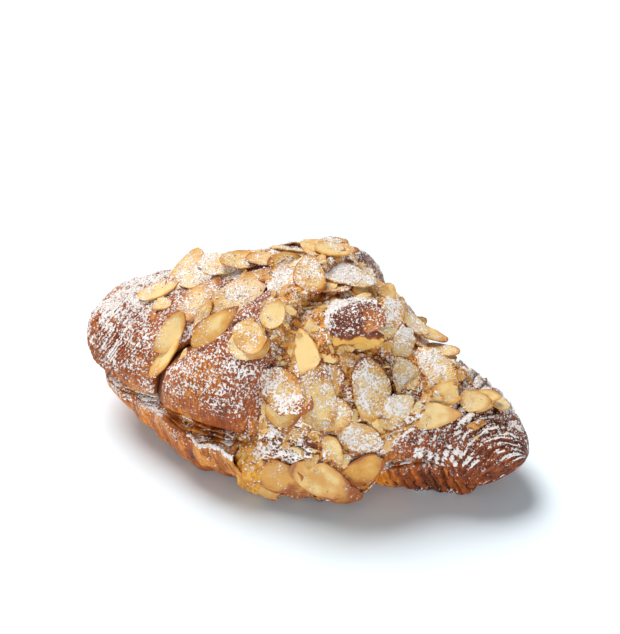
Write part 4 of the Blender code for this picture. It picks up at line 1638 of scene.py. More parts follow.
@dataclass
class Spread:
    """The frangipane on top, and its browned lump."""

    form: SpreadForm
    dusting: Dusting
    along: int = 150
    down: int = 300
    lump_place: Pair = (20, -7)
    lump_half_size: Triple = (10.4, 7.0, 7.6)
    lump_turn: float = 25  # degrees
    lump_rise: float = 2.6
    lump_squareness: float = 0.66
    lump_swell: Grain = Grain(0.2, 0.6, 2, 91)
    lump_tears: Grain = Grain(0.16, 0.3, 4, 93)
    lump_line: Grain = Grain(2.4, 4, 3, 98)  # where its browned top ends
    baked: float = 0.12
    baked_foot: float = 0.35
    baked_patches: float = 0.5
    # painted shade: how much darker the hollows of the crumb are
    hollow_shade: float = 0.55
    brown_patches: Grain = Grain(1.0, 12, 3, 95)
    brown_spot: float = 1.3
    sugar_more: float = 0.1
    sugar_on_front: float = 0.5
    sugar_less_in_hollows: float = 0.35
    browned: tuple[tuple[float, float, float, float], ...] = (
        # x, y, z, radius
        (6, -40, 25, 8),
        (13, -39, 27, 6),
        (30, -28, 42, 6),
        (40, -16, 38, 6),
        (14, 4, 60, 6),
        (34, -8, 50, 5),
    )
    finish: FrangipaneFinish = FrangipaneFinish(
        "frangipane_on_top", srgb(226, 166, 78), srgb(196, 122, 42), srgb(112, 48, 18)
    )
    lump_finish: FrangipaneFinish = FrangipaneFinish(
        "browned_frangipane", srgb(232, 184, 96), srgb(180, 100, 42), srgb(112, 50, 24)
    )

    def sheet(self) -> Object:
        """The spread itself, a thick sheet over the crust.

        Returns:
            The object, with the height of its crumb painted on.
        """
        obj, along, down = grid(self.along, self.down)
        x, y, z, crumb = self.form.point(along, down)
        place_points(obj, np.stack([x, y, z], 1) * MM)
        paint(obj, crumb=crumb)
        outward = obj.data.polygons[len(obj.data.polygons) // 2].normal.z > 0
        thicken(obj, self.form.shell, -1 if outward else 1)
        return obj

    def lump(self, sheet: Object) -> Object:
        """The browned lump that stands on the spread.

        Args:
            sheet: The spread.

        Returns:
            The object.
        """
        above = Vector((*self.lump_place, RAY_START)) * MM
        top = surface_of([sheet]).ray_cast(above, Vector((0, 0, -1)))[0].z / MM
        obj = added(bpy.ops.mesh.primitive_ico_sphere_add, subdivisions=6, radius=1)
        unit = points_of(obj)
        shape = signed_power(unit, self.lump_squareness) * self.lump_half_size
        torn = self.lump_tears.on(unit) * (1 + 0.9 * ramp(-unit[:, 2], -0.3, 0.2))
        shape = shape * (1 + self.lump_swell.on(unit) + torn)[:, None]
        place = Matrix.Translation((*self.lump_place, top + self.lump_rise))
        place = np.array(place @ Matrix.Rotation(math.radians(self.lump_turn), 4, "Z"))
        set_points(obj, (shape @ place[:3, :3].T + place[:3, 3]) * MM)
        return obj

    def build(self) -> tuple[Object, Object]:
        """Makes the pieces.

        Returns:
            The spread, and the lump on it.
        """
        sheet = self.sheet()
        lump = self.lump(sheet)
        points, normals = measured(sheet)
        brown = ramp(self.brown_patches.on(points), 0.15, 0.6)
        for x, y, z, radius in self.browned:
            brown = brown + self.brown_spot * bell(np.linalg.norm(points - (x, y, z), axis=1) / radius)
        steep = self.sugar_on_front * ramp(points[:, 2], 18, 24) * (1 - ramp(normals[:, 2], -0.1, 0.4))
        foot = self.baked_foot * (1 - ramp(points[:, 2], 14, 24))
        hollow = 1 - ramp(painted_on(sheet, "crumb"), -0.5, 0.3)
        sugar = self.dusting.at(points, normals) + steep + self.sugar_more
        sugar = np.clip(sugar - self.sugar_less_in_hollows * hollow, 0, 1)
        # painted shade in the hollows of the crumb, added to the baking
        bake = self.baked + foot + self.baked_patches * brown + self.hollow_shade * hollow
        paint(sheet, bake=bake, sugar=sugar)
        points, _ = measured(lump)
        level = points[:, 2] - points[:, 2].mean() + self.lump_line.on(points)
        top = ramp(level, -1.2, 0.8)
        heavy = ramp(-points[:, 0] + 0.5 * points[:, 1], -24, -12)
        paint(lump, bake=1.3 * top - 0.2, sugar=top * np.clip(0.33 + 0.85 * heavy, 0, 1.1))
        sheet.name, lump.name = "frangipane_spread", "browned_lump"
        fit(smoothed(sheet), Part.TOPPING, self.finish.material())
        fit(smoothed(lump), Part.TOPPING, self.lump_finish.material())
        return sheet, lump


def surface_of(objects: Iterable[Object]) -> BVHTree:
    """The joined surface of these objects, for ray casts.

    Args:
        objects: The objects, at the origin.

    Returns:
        The tree.
    """
    points, faces = [], []
    for obj in objects:
        first = len(points)
        points += [v.co.copy() for v in obj.data.vertices]
        faces += [[first + i for i in face.vertices] for face in obj.data.polygons]
    return BVHTree.FromPolygons(points, faces)


def nearest_hit(trees: Iterable[BVHTree], origin: Vector, direction: Vector) -> tuple:
    """The first surface that a ray meets.

    Args:
        trees: The surfaces.
        origin, direction: The ray.

    Returns:
        Place, normal, distance and the number of the surface, or four Nones.
    """
    best = (None, None, None, None)
    for number, tree in enumerate(trees):
        hit, normal, _, distance = tree.ray_cast(origin, direction)
        if hit is not None and (best[2] is None or distance < best[2]):
            best = (hit, normal, distance, number)
    return best


CUP = 0.03  # how far a slice's ends and sides rise, as a share of its size
CAST_SHARES = (0, 0.4, -0.4, 0.8, -0.8)  # of its half length and half width, where rays meet it


class Side(Enum):
    """From where a slice is laid on."""

    ABOVE = "above"
    FRONT = "front"


@dataclass(frozen=True)
class AlmondSlice:
    """One sliced almond and how it lies.

    across and along are its place as seen from its side: x and y from above, x and z from the front.
    """

    across: float
    along: float
    turn: float
    length: float
    width: float
    lift: float = 0
    roll: float = 0
    sugar: float = 0.6
    toast: float = 0.2
    side: Side = Side.ABOVE
    whole: bool = False  # never with a broken end

    def casts(self) -> list[tuple[Vector, Vector, float]]:
        """Rays at it from its side.

        Returns:
            For each, its start, its direction and the slice's own height there, the middle first.
        """
        rays = []
        c, s = math.cos(math.radians(self.turn)), math.sin(math.radians(self.turn))
        for a, b in itertools.product(CAST_SHARES, repeat=2):
            if math.hypot(a, b) > 1:
                continue
            u, v = a * self.length / 2, b * self.width / 2
            across, along = self.across + u * c - v * s, self.along + u * s + v * c
            own = float(self.cupped(np.array(a), np.array(b)))
            if self.side is Side.FRONT:
                rays.append((Vector((across, -RAY_START, along)) * MM, Vector((0, 1, 0)), own))
            else:
                rays.append((Vector((across, along, RAY_START)) * MM, Vector((0, 0, -1)), own))
        return rays

    def cupped(self, u: Points, v: Points) -> Points:
        """Height of its curved face at shares of its half length and half width, in millimetres."""
        bend = 0.3 + 0.8 * rough(np.array([[self.across, self.along]]), 1.7, 5)[0]
        return bend * (CUP * self.length * u * u + CUP * self.width * v * v)


def slices(side: Side, rows: Sequence[tuple]) -> tuple[AlmondSlice, ...]:
    """Slices laid from one side, each from a row of its place, sizes, tilts and look."""
    return tuple(AlmondSlice(*row[:9], side, *row[9:]) for row in rows)


@dataclass
class AlmondSlices:
    """All the sliced almonds, each laid on what is under it."""

    upper: UpperForm
    dusting: Dusting
    finish: AlmondFinish = AlmondFinish()
    thickness: float = 0.5
    point_share: float = 0.24  # how much narrower its pointed end is
    bed: float = 0.25  # share of its thickness that stands clear
    outline: tuple[tuple[int, float], ...] = (
        # waves round it, and how far each may reach
        (2, 0.05), (3, 0.08), (4, 0.05), (6, 0.03), (9, 0.022), (14, 0.016),
    )
    snap_reach: Pair = (0.55, 0.85)  # where a broken end may be, as a share of the half length
    snap_raggedness: float = 0.16
    ripple: float = 0.7
    ripple_pitch: float = 6
    fine_ripple: float = 0.22
    fine_ripple_pitch: float = 2.2
    rim_rounding: float = 4  # how quickly the thickness is reached in from the rim
    sugar_patches: Grain = Grain(0.4, 6, 2, 63)
    toast_scatter: Pair = (-0.1, 0.16)  # mean and spread of how much darker each is
    toast_at_end: float = 0.35
    back_sizes: tuple[Pair, Pair] = ((15, 22), (9, 13))  # lengths and widths of those behind
    back_lift: float = 3
    most_rays: float = 0.75  # share of the rays at a slice that have to agree
    reach_off: float = 3.0  # how far off its plane the surface still carries a slice
    clear_share: float = 0.9  # share of a slice that stands clear of what is under it
    snapped_share: float = 0.35  # of the slices that have a broken end
    clear: float = 0.8  # how thick the spread has to be for a slice to lie on it
    on_top: tuple[AlmondSlice, ...] = slices(Side.ABOVE, (
        # across, along, turn, length, width, lift, roll, sugar, toast, whole
        (-55, -4, 20, 16, 10, 4, 0, 0.25, 0.3, True),
        (-51, -11, -8, 9, 6, 0, 0, 0.6, 0.3),
        (-33, 14, 17, 20, 11, 2, 10, 0.55, 0.3),
        (-47, 5, 75, 20, 12, 20, 18, 0.4, 0.3, True),
        (-31, 6, 21, 18, 10, 6, 14, 0.85, 0.2),
        (-37, -10, 62, 20, 11, 8, 8, 0.5, 0.3, True),
        (-42, -27, 62, 17, 7, 4, -14, 0.15, 0.3),
        (-42, -22, 66, 17, 8, 8, 16, 0.25, 0.35),
        (-24, -24, 30, 21, 8, 2, 48, 0.1, 0.2, True),
        (-22, -6, 62, 25, 14, 4, 14, 0.6, 0.3, True),
        (-16, 18, 50, 19, 11, 2, 8, 0.7, 0.2),
        (-15, 25, 24, 20, 9, 0, 0, 0.4, 0.35),
        (-11, -27, 5, 15, 12, 0, 0, 0.1, 0.3),
        (-11, -25, 60, 13, 13, 4, 0, 0.4, 0.65),
        (-6, -18, 86, 11, 8, 4, 0, 0.35, 0.2, True),
        (-10, 5, 16, 19, 10, 0, 10, 0.4, 0.4),
        (-2, 18, 74, 15, 11, -4, 0, 0.6, 0.3),
        (-7, 11, 62, 12, 8, 4, 0, 0.4, 0.35),
        (6, 19, 60, 14, 8, 0, 0, 0.4, 0.3),
        (16, 22, 88, 12, 6, 6, 0, 0.4, 0.4),
        (14, 12, 70, 10, 5, 8, 20, 0.1, 0.3),
        (3, 6, 165, 18, 14, 0, 12, 0.55, 0.4),
        (8, 18, 45, 24, 12, 2, 6, 0.7, 0.25),
        (24, 22, 118, 16, 9, 6, 0, 0.4, 0.3),
        (4, -36, 140, 16, 14, 0, 0, 0.2, 0.5),
        (4, -33, 140, 22, 14, 6, 8, 0.7, 0.3, True),
        (16, -28, 70, 17, 13, 2, 0, 0.5, 0.35),
        (20, -32, 10, 18, 12, 0, 0, 0.6, 0.35),
        (30, -20, 130, 22, 13.5, 4, 0, 0.6, 0.3, True),
        (30, -6, 111, 12, 9, 6, 0, 0.7, 0.2),
        (33, 3, 100, 15, 9, 14, 0, 0.7, 0.2),
        (39, -9, 149, 16, 12, 4, 0, 0.75, 0.15),
        (33, 13, 10, 11, 8, 0, 0, 0.5, 0.3),
        (47, -1, -23, 19, 11, 6, 12, 0.75, 0.15),
        (42, 9, 40, 17, 9, 4, 0, 0.35, 0.1),
        (38, 11, 34, 16, 9, 0, 0, 0.3, 0.4),
        (53, -8, 45, 15, 9, 20, 20, 0.05, 0.45),
        (51, -15, 25, 19, 9, 8, 10, 0.05, 0.45, True),
        (62, -4, 30, 13, 8, 8, 20, 0.2, 0.1),
        (68, 3, 70, 13, 9, 4, -10, 0.2, 0.1),
    ))
    thin_on_top: tuple[AlmondSlice, ...] = slices(Side.ABOVE, (
        (27, -9.5, 40, 9, 8, 16, 6, 0.6, 1.3, True),
        (2.6, 6.5, 112, 15, 9.5, 0, 0, 0.5, 0.4),
        (-3, 19, 25, 14, 9, 4, 0, 0.3, 0.2),
        (4, 26, 150, 10, 7, 0, 0, 0.5, 0.3),
        (-9, 2, 20, 13, 9, 0, 0, 0.7, 0.3),
        (17, 24, 60, 9, 6, 10, 0, 0.3, 0.5),
        (27, 18, 120, 11, 6, 12, 0, 0.3, 0.5),
        (-41, 3, 40, 17, 10, 8, 8, 0.6, 0.35),
        (-36, 6, 10, 18, 9, 4, 6, 0.75, 0.25),
        (-29, 9, 30, 16, 9, 4, 10, 0.5, 0.4),
        (-21, 12, 15, 15, 8, 6, 0, 0.4, 0.4),
        (-14, 13, 35, 16, 9, 6, 0, 0.35, 0.45),
        (-4, 21, 10, 16, 8, 4, 10, 0.3, 0.45),
        (6, 23, 160, 13, 8, 4, 0, 0.4, 0.35),
        (20, 20, 100, 10, 6, 18, 0, 0.3, 0.5),
        (32, 14, 60, 12, 7, 24, 10, 0.4, 0.45),
        (37, 14, 30, 13, 8, 22, 0, 0.3, 0.4),
        (44, 12, 20, 12, 7, 16, 0, 0.3, 0.35),
        (62, -5, 20, 11, 7, 24, 20, 0.15, 0.4),
        (66, -1, 50, 10, 6, 18, 12, 0.15, 0.45),
        (31, -3, 120, 14, 9, 10, 0, 0.75, 0.2),
        (-32, -16, 65, 12, 6, 6, 0, 0.4, 0.4),
        (17, -32, 115, 18, 11, 4, 0, 0.6, 0.35),
        (40, -20, 60, 13, 9, 4, 0, 0.85, 0.2),
        (-1.5, 3, 112, 18, 11, 4, 0, 0.55, 0.35, True),
        (8, 13, 22, 21, 12, 6, 8, 1.0, 0.2, True),
        (1, 21, 30, 15, 9, 4, 0, 0.35, 0.35, True),
        (-9, -3, 30, 15, 8, 4, 0, 0.6, 0.45),
        (16, 6, 60, 9, 5, 16, 0, 0.3, 0.3),
        (7.5, -22, 118, 17.5, 7.8, 6, 0, 0.05, 0.05, True),
    ))
    hanging: tuple[AlmondSlice, ...] = slices(Side.FRONT, (
        (13, 9, 8, 14, 8, 0, 0, 0.15, 0.9),
        (1, 6, -10, 13, 6, 0, -30, 0.15, 0.65),
        (4.5, 14, 12, 19, 13, 6, -8, 0.12, 0.75),
        (31, 31, -5, 17, 10, 0, 0, 0.85, 0.35),
        (23, 28, -65, 13, 6, 0, 20, 0.7, 0.4),
        (27, 8, -20, 14, 8, 0, -10, 0.12, 0.75),
        (32, 19, 52, 20, 13, 6, -10, 0.05, 0.88, True),
        (20, 15, -26, 22, 13, 6, -10, 0.05, 0.76),
    ))
    back_count: int = 5
    back_seed: int = 7
    back_x: Pair = (-44, 16)
    back_shares: Pair = (0.62, 0.86)

    def behind(self) -> list[AlmondSlice]:
        """Spreads a few slices evenly over the side that faces away, with a seeded scatter.

        Returns:
            The slices.
        """
        draw = np.random.default_rng(self.back_seed)
        shift_of, _, back_of, *_ = curves_of(self.upper.stations)
        rows = []
        for i in range(self.back_count):
            x = self.back_x[0] + (i + 0.5) / self.back_count * (self.back_x[1] - self.back_x[0])
            share = self.back_shares[0] + (self.back_shares[1] - self.back_shares[0]) * (i % 3) / 2
            y = float(shift_of(x) + share * back_of(x))
            turn, length, width = (draw.uniform(*limits) for limits in ((0, 180), *self.back_sizes))
            rows.append(AlmondSlice(x, y, turn, length, width, self.back_lift, 0))
        return rows

    def lies_on(self, spread: BVHTree, crust: BVHTree, piece: AlmondSlice) -> bool:
        """Finds what a slice lies on.

        Args:
            spread, crust: The two surfaces.
            piece: The slice.

        Returns:
            True where the spread stands clear of the crust under most of the slice.
        """
        wins, rays = 0, piece.casts()
        for origin, direction, _ in rays:
            mine, theirs = (tree.ray_cast(origin, direction)[3] for tree in (spread, crust))
            wins += mine is not None and (theirs is None or mine < theirs - self.clear * MM)
        return wins >= self.most_rays * len(rays)

    def resting(self, trees: Sequence[BVHTree], piece: AlmondSlice) -> Matrix:
        """Where a slice comes to lie: along the surface under it, clear of most of its bumps.

        Args:
            trees, piece: The surfaces under it, and the slice.

        Returns:
            The move from the origin to its place.
        """
        c, s = math.cos(math.radians(piece.turn)), math.sin(math.radians(piece.turn))
        long_way = Vector((c, 0, s) if piece.side is Side.FRONT else (c, s, 0))
        up, hits = Vector(), []
        for origin, direction, own in piece.casts():
            hit, normal, _, _ = nearest_hit(trees, origin, direction)
            if hit is None:
                continue
            up += normal if normal.dot(direction) < 0 else -normal
            hits.append((hit, own))
        up.normalize()
        middle = hits[0][0]
        near = [(hit, own) for hit, own in hits if abs((hit - middle).dot(up)) < self.reach_off * MM]
        if len(near) >= self.most_rays * len(hits):
            flat = np.array([hit for hit, _ in near])
            plane = Vector(np.linalg.svd(flat - flat.mean(axis=0))[2][2])
            up = plane if plane.dot(up) > 0 else -plane
        long_axis = (long_way - up * long_way.dot(up)).normalized()
        stance = Matrix((long_axis, up.cross(long_axis), up)).transposed().to_4x4()
        lift = Matrix.Rotation(-math.radians(piece.lift), 4, "Y")
        roll = Matrix.Rotation(math.radians(piece.roll), 4, "X")
        stance = stance @ lift @ roll
        face = Vector(stance.col[2][:3])
        heights = [((hit - middle).dot(face) - own * MM) / up.dot(face) for hit, own in near]
        raised = float(np.quantile(heights, self.clear_share)) + self.bed * self.thickness * MM
        return Matrix.Translation(middle + up * raised) @ stance

    def slice_mesh(self, piece: AlmondSlice, place: Matrix, seed: int) -> Object:
        """One slice: a thin oval, pointed at one end, slightly cupped, with a rounded rim.

        Args:
            piece, place: Its sizes and look, and where it lies.
            seed: Which of the many shapes it has.

        Returns:
            The object.
        """
        obj = added(bpy.ops.mesh.primitive_uv_sphere_add, segments=44, ring_count=16, radius=1)
        unit = points_of(obj)
        flat = np.hypot(unit[:, 0], unit[:, 1])
        turn = np.arctan2(unit[:, 1], unit[:, 0])
        draw = np.random.default_rng(seed)
        wave = sum(
            draw.uniform(-size, size) * np.cos(order * turn + draw.uniform(0, 2 * PI))
            for order, size in self.outline
        )
        reach = np.sqrt(np.clip(flat, 0, 1)) * (1 + wave)
        u, v = reach * np.cos(turn), reach * np.sin(turn)
        if draw.random() < self.snapped_share and not piece.whole:
            ragged = self.snap_raggedness * rough(pairs(v, v * 0), 0.25, seed)
            snap = draw.uniform(*self.snap_reach) + ragged
            u = np.minimum(u, snap) if draw.random() < 0.5 else np.maximum(u, -snap)
        x = u * piece.length / 2
        y = v * piece.width / 2 * (1 - self.point_share * u)
        side = np.clip(np.abs(unit[:, 2]) * self.rim_rounding, 0, 1) ** 0.5 * np.sign(unit[:, 2])
        ripple = self.ripple * rough(pairs(x, y), self.ripple_pitch, 100 + seed)
        ripple = (ripple + self.fine_ripple * rough(pairs(x, y), self.fine_ripple_pitch, seed)) * reach
        local = np.stack([x, y, side * self.thickness / 2 + piece.cupped(u, v) + ripple], 1) * MM
        spot = np.array(place)
        set_points(obj, local @ spot[:3, :3].T + spot[:3, 3])
        points, normals = measured(obj)
        cover = 0.72 * piece.sugar * (1.25 - 0.5 * reach**2) + self.sugar_patches.on(points)
        cover = np.clip(cover, 0, 1) * ramp(normals[:, 2], -0.4, 0.4)
        toast = piece.toast + draw.normal(*self.toast_scatter)
        toast = toast + self.toast_at_end * ramp(u * draw.choice([-1, 1]), 0.2, 1.0)
        toast = np.where(flat > 0, toast, piece.toast)
        paint(obj, rim=reach, toast=toast, sugar=cover)
        wrap_map(obj, y, x)
        return obj

    def lay(self, name: str, rows: Sequence[AlmondSlice], trees: list[BVHTree], seed: int) -> list:
        """Lays slices one after another, each also on those before it.

        Args:
            name, seed: Start of their names and of their seeds.
            rows: The slices, the lowest first.
            trees: The surfaces that they lie on, to which they are added.

        Returns:
            The objects.
        """
        laid = []
        for number, row in enumerate(rows):
            obj = self.slice_mesh(row, self.resting(trees, row), seed + number)
            obj.name = f"{name}_{number:02d}"
            trees.append(surface_of([obj]))
            laid.append(obj)
        return laid

    def build(self, crust: Object, *topping: Object) -> list[Object]:
        """Lays them all and joins them by what they lie on.

        Args:
            crust, topping: The upper crust, and the frangipane on top with its lump.

        Returns:
            The pieces.
        """
        crust_tree, spread_tree = surface_of([crust]), surface_of(topping)
        rows = [*self.on_top, *self.behind(), *self.thin_on_top]
        upper = [row for row in rows if not self.lies_on(spread_tree, crust_tree, row)]
        on_it = [row for row in rows if row not in upper]
        trees = [crust_tree]
        on_crust = self.lay("crust_slice", upper, trees, 200)
        trees.append(spread_tree)
        on_spread = self.lay("spread_slice", on_it, trees, 300)
        on_front = self.lay("hanging_slice", self.hanging, trees, 400)
        material = self.finish.material()
        pieces = [
            fit(joined("almonds_on_crust", on_crust), Part.UPPER, material),
            fit(joined("almonds_on_spread", on_spread), Part.TOPPING, material),
            fit(joined("almonds_hanging", on_front), Part.TOPPING, material),
        ]
        return [smoothed(piece) for piece in pieces]


@dataclass(frozen=True)
class Rain:
    """Small things that drop on the croissant and stay where they land."""

    drops: int
    seed: int
    towards: Pair = (0.0, 0.0)  # mean drift along x and y for each unit of fall
    spread: float = 0.3  # how much the drift varies
    run_up: float = 60  # how far up a drop's drift starts

    def landings(self, grounds: Sequence[Object]) -> list[Points]:
        """Where they land.

        Args:
            grounds: The pieces that they can land on.

        Returns:
            For each ground, rows of place and normal, in metres.
        """
        draw = np.random.default_rng(self.seed)
        low, high = CAD_BOX
        trees = [surface_of([ground]) for ground in grounds]
        xs, ys = draw.uniform(low.x, high.x, self.drops), draw.uniform(low.y, high.y, self.drops)
        drifts = self.towards + draw.normal(0, self.spread, (self.drops, 2))
        landed = [[] for _ in grounds]
        run_up = self.run_up * MM
        for x, y, (a, b) in zip(xs, ys, drifts):
            fall = Vector((a, b, -1)).normalized()
            start = Vector((x - a * run_up, y - b * run_up, RAY_START * MM))
            hit, normal, _, number = nearest_hit(trees, start, fall)
            if hit is not None:
                landed[number].append((*hit, *(normal if normal.dot(fall) < 0 else -normal)))
        return [np.array(rows).reshape(-1, 6) for rows in landed]


@dataclass(frozen=True)
class SmallShape:
    """A shape of few faces, copied many times and bent each time."""

    points: Points
    faces: Points

    @classmethod
    def of(cls, add: Callable, **sizes: float) -> SmallShape:
        """Takes the shape from one of Blender's primitives.

        Args:
            add, sizes: The operator that adds it, and its settings.

        Returns:
            The shape, in triangles.
        """
        obj = added(add, **sizes)
        obj.data.calc_loop_triangles()
        corners = np.array([face.vertices[:] for face in obj.data.loop_triangles])
        shape = cls(points_of(obj), corners)
        bpy.data.objects.remove(obj, do_unlink=True)
        return shape

    def copies(self, name: str, places: Points, frames: Points, bend: Points) -> Object:
        """One piece of many copies.

        Args:
            name: Its name.
            places: Where each is, in metres.
            frames: Each one's axes as columns, scaled to its half sizes in millimetres.
            bend: For each copy, how far each of the shape's points is moved out, 1 for not at all.

        Returns:
            The piece.
        """
        points = np.einsum("nij,nkj->nki", frames, self.points[None] * bend) * MM + places[:, None]
        index = np.arange(len(places))[:, None, None] * len(self.points) + self.faces[None]
        mesh = bpy.data.meshes.new(name)
        mesh.from_pydata(points.reshape(-1, 3), [], index.reshape(-1, 3).tolist())
        obj = bpy.data.objects.new(name, mesh)
        bpy.context.scene.collection.objects.link(obj)
        return obj


def laid_frames(normals: Points, tilt: float, draw: np.random.Generator) -> Points:
    """Axes for things that lie on a surface, turned at random.

    Args:
        normals: The direction that the surface faces at each.
        tilt: How far each may lean, as a share of its normal.
        draw: The seeded scatter.

    Returns:
        For each, a matrix whose third column is its upward axis.
    """
    up = normals + tilt * draw.normal(size=normals.shape)
    up /= np.linalg.norm(up, axis=1)[:, None]
    side = np.cross(up, draw.normal(size=up.shape))
    side /= np.linalg.norm(side, axis=1)[:, None]
    return np.stack([side, np.cross(up, side), up], 2)


def cover_at(ground: Object, places: Points) -> Points:
    """The sugar cover painted on the ground's nearest points.

    Args:
        ground, places: A piece, and places on it in metres.

    Returns:
        The cover at each place.
    """
    values = painted_on(ground, "sugar")
    tree = KDTree(len(values))
    for number, vertex in enumerate(ground.data.vertices):
        tree.insert(vertex.co, number)
    tree.balance()
    return np.array([values[tree.find(place)[1]] for place in places])


def between(limits: Pair, share: Points) -> Points:
    """Values a share of the way from the first limit to the second."""
    return limits[0] + (limits[1] - limits[0]) * share


@dataclass(frozen=True)
class Ground:
    """A surface that small things land on, and the solid that they then go with."""

    name: str
    piece: Object
    part: Part


@dataclass
class IcingSugar:
    """Grains and small clumps of icing sugar, one piece for each ground."""

    rain: Rain = Rain(drops=220000, seed=17)
    most: int = 20000  # grains in a piece
    sizes: Pair = (0.12, 0.42)  # smallest and largest half width
    small_share: float = 2.2  # power that makes most grains small
    raised: float = 0.35  # height of a grain's middle, as a share of its half width
    squash: Pair = (0.45, 1.45)  # how far each point of a grain is pushed in or out
    clumps: Grain = Grain(0.7, 2.6, 2, 111)
    clump_pull: float = 1.6  # how much a thick cover gathers the grains
    loose_share: float = 0.3  # of the grains between the clumps
    landing_share: float = 0.9
    finish: SugarFinish = SugarFinish()

    def build(self, grounds: Sequence[Ground]) -> list[Object]:
        """Makes the pieces.

        Args:
            grounds: What the sugar can land on.

        Returns:
            A piece for each ground.
        """
        grain = SmallShape.of(bpy.ops.mesh.primitive_cone_add, vertices=5, radius1=1, depth=1.6)
        draw = np.random.default_rng(self.rain.seed + 1)
        material = self.finish.material()
        pieces = []
        for ground, rows in zip(grounds, self.rain.landings([g.piece for g in grounds])):
            cover = cover_at(ground.piece, rows[:, :3])
            clumps = self.clumps.on(rows[:, :3] / MM) + self.clump_pull * (cover - 0.5)
            gathered = self.loose_share + (1 - self.loose_share) * ramp(clumps, -0.1, 0.5)
            chance = self.landing_share * gathered * cover**1.2
            rows = rows[draw.random(len(rows)) < chance][: self.most]
            count = len(rows)
            size = between(self.sizes, draw.random(count) ** self.small_share)
            frames = laid_frames(rows[:, 3:], 1.0, draw) * size[:, None, None]
            places = rows[:, :3] + rows[:, 3:] * (self.raised * size * MM)[:, None]
            bend = draw.uniform(*self.squash, (count, len(grain.points), 1))
            piece = grain.copies("sugar_on_" + ground.name, places, frames, bend)
            pieces.append(fit(piece, ground.part, material))
        return pieces


@dataclass
class Crumbs:
    """Toasted crumbs and broken bits of almond, thickest on the frangipane."""

    dusting: Dusting
    rains: tuple[Rain, ...] = (Rain(26000, 23, (0.0, 0.3), 0.4), Rain(14000, 29, (-0.2, 1.0), 0.4))
    crumb_sizes: Pair = (0.15, 0.55)
    chip_sizes: Pair = (1.0, 3.4)
    crumb_shares: Pair = (0.6, 1.3)  # how long or short a crumb is each way
    crumb_squash: Pair = (0.75, 1.25)  # how far each point of a crumb is pushed in or out
    crumb_bakes: Pair = (-0.1, 1.1)
    crumb_sugar: float = 0.9
    clumps: Grain = Grain(1.0, 7, 2, 113)
    chip_sides: int = 9
    chip_widths: Pair = (0.35, 0.8)  # as a share of the length
    chip_half_thickness: float = 0.3
    chip_squash: Pair = (0.6, 1.25)
    chip_toasts: Pair = (0.0, 0.8)
    chip_sugar: float = 0.6
    chip_raise: float = 0.2
    most_crumbs: int = 4200
    most_chips: int = 150
    most_chips_on_crust: int = 5
    crumb_finish: FrangipaneFinish = FrangipaneFinish(
        "toasted_crumbs", srgb(230, 182, 106), srgb(206, 142, 66), srgb(140, 70, 30)
    )
    chip_finish: AlmondFinish = AlmondFinish("almond_chips")

    def rows_on(self, ground: Ground, above: Sequence[Object]) -> Points:
        """Where crumbs can lie on this ground beside the pieces above it, in a seeded order."""
        rows = np.concatenate([rain.landings([ground.piece, *above])[0] for rain in self.rains])
        return rows[np.random.default_rng(31).permutation(len(rows))]

    def crumbs(self, ground: Ground, rows: Points) -> Object:
        """The crumbs on one ground.

        Args:
            ground, rows: What they lie on, and where they can.

        Returns:
            The piece.
        """
        draw = np.random.default_rng(37)
        shape = SmallShape.of(bpy.ops.mesh.primitive_ico_sphere_add, subdivisions=1, radius=1)
        clumps = self.clumps.on(rows[:, :3] / MM)
        rows = rows[clumps > draw.uniform(-0.6, 0.5, len(rows))][: self.most_crumbs]
        count = len(rows)
        size = between(self.crumb_sizes, draw.random(count) ** 2)
        frames = laid_frames(rows[:, 3:], 1.0, draw)
        frames = frames * (size[:, None] * draw.uniform(*self.crumb_shares, (count, 3)))[:, None]
        bend = draw.uniform(*self.crumb_squash, (count, len(shape.points), 1))
        piece = shape.copies("crumbs_on_" + ground.name, rows[:, :3], frames, bend)
        bakes = np.repeat(draw.uniform(*self.crumb_bakes, count), len(shape.points))
        self.dust(piece, bakes, "bake", self.crumb_sugar)
        return fit(smoothed(piece), ground.part, self.crumb_finish.material())

    def chips(self, ground: Ground, rows: Points, most: int) -> Object:
        """The broken bits of almond on one ground.

        Args:
            ground, rows: What they lie on, and where they can.
            most: How many there are.

        Returns:
            The piece.
        """
        draw = np.random.default_rng(41)
        sides = self.chip_sides
        shape = SmallShape.of(bpy.ops.mesh.primitive_cylinder_add, vertices=sides, radius=1, depth=2)
        rows = rows[-most:]
        count = len(rows)
        length = between(self.chip_sizes, draw.random(count) ** 1.5)
        width = length * draw.uniform(*self.chip_widths, count)
        halves = np.stack([length, width, np.full(count, self.chip_half_thickness)], 1)
        frames = laid_frames(rows[:, 3:], 0.35, draw) * halves[:, None]
        bend = np.ones((count, len(shape.points), 3))
        squash = draw.uniform(*self.chip_squash, (count, sides))
        bend[:, :, :2] = np.repeat(squash, 2, axis=1)[:, :, None]
        places = rows[:, :3] + rows[:, 3:] * self.chip_raise * MM
        piece = shape.copies("chips_on_" + ground.name, places, frames, bend)
        toasts = np.repeat(draw.uniform(*self.chip_toasts, count), len(shape.points))
        self.dust(piece, toasts, "toast", self.chip_sugar)
        paint(piece, rim=0.5)
        wrap_map(piece, *measured(piece)[0].T[:2])
        return fit(piece, ground.part, self.chip_finish.material())

    def dust(self, piece: Object, tone: Points, name: str, share: float) -> None:
        """Stores each copy's tone and its share of the sugar cover."""
        paint(piece, **{name: tone, "sugar": share * self.dusting.at(*measured(piece))})

    def build(self, spread: Ground, crust: Ground, above: Sequence[Object]) -> list[Object]:
        """Makes the pieces.

        Args:
            spread, crust: The two grounds.
            above: The pieces that lie on them, which the crumbs lie beside.

        Returns:
            The crumbs and chips on the spread, and the chips on the crust.
        """
        on_spread, on_crust = self.rows_on(spread, above), self.rows_on(crust, above)
        return [
            self.crumbs(spread, on_spread),
            self.chips(spread, on_spread, self.most_chips),
            self.chips(crust, on_crust, self.most_chips_on_crust),
        ]


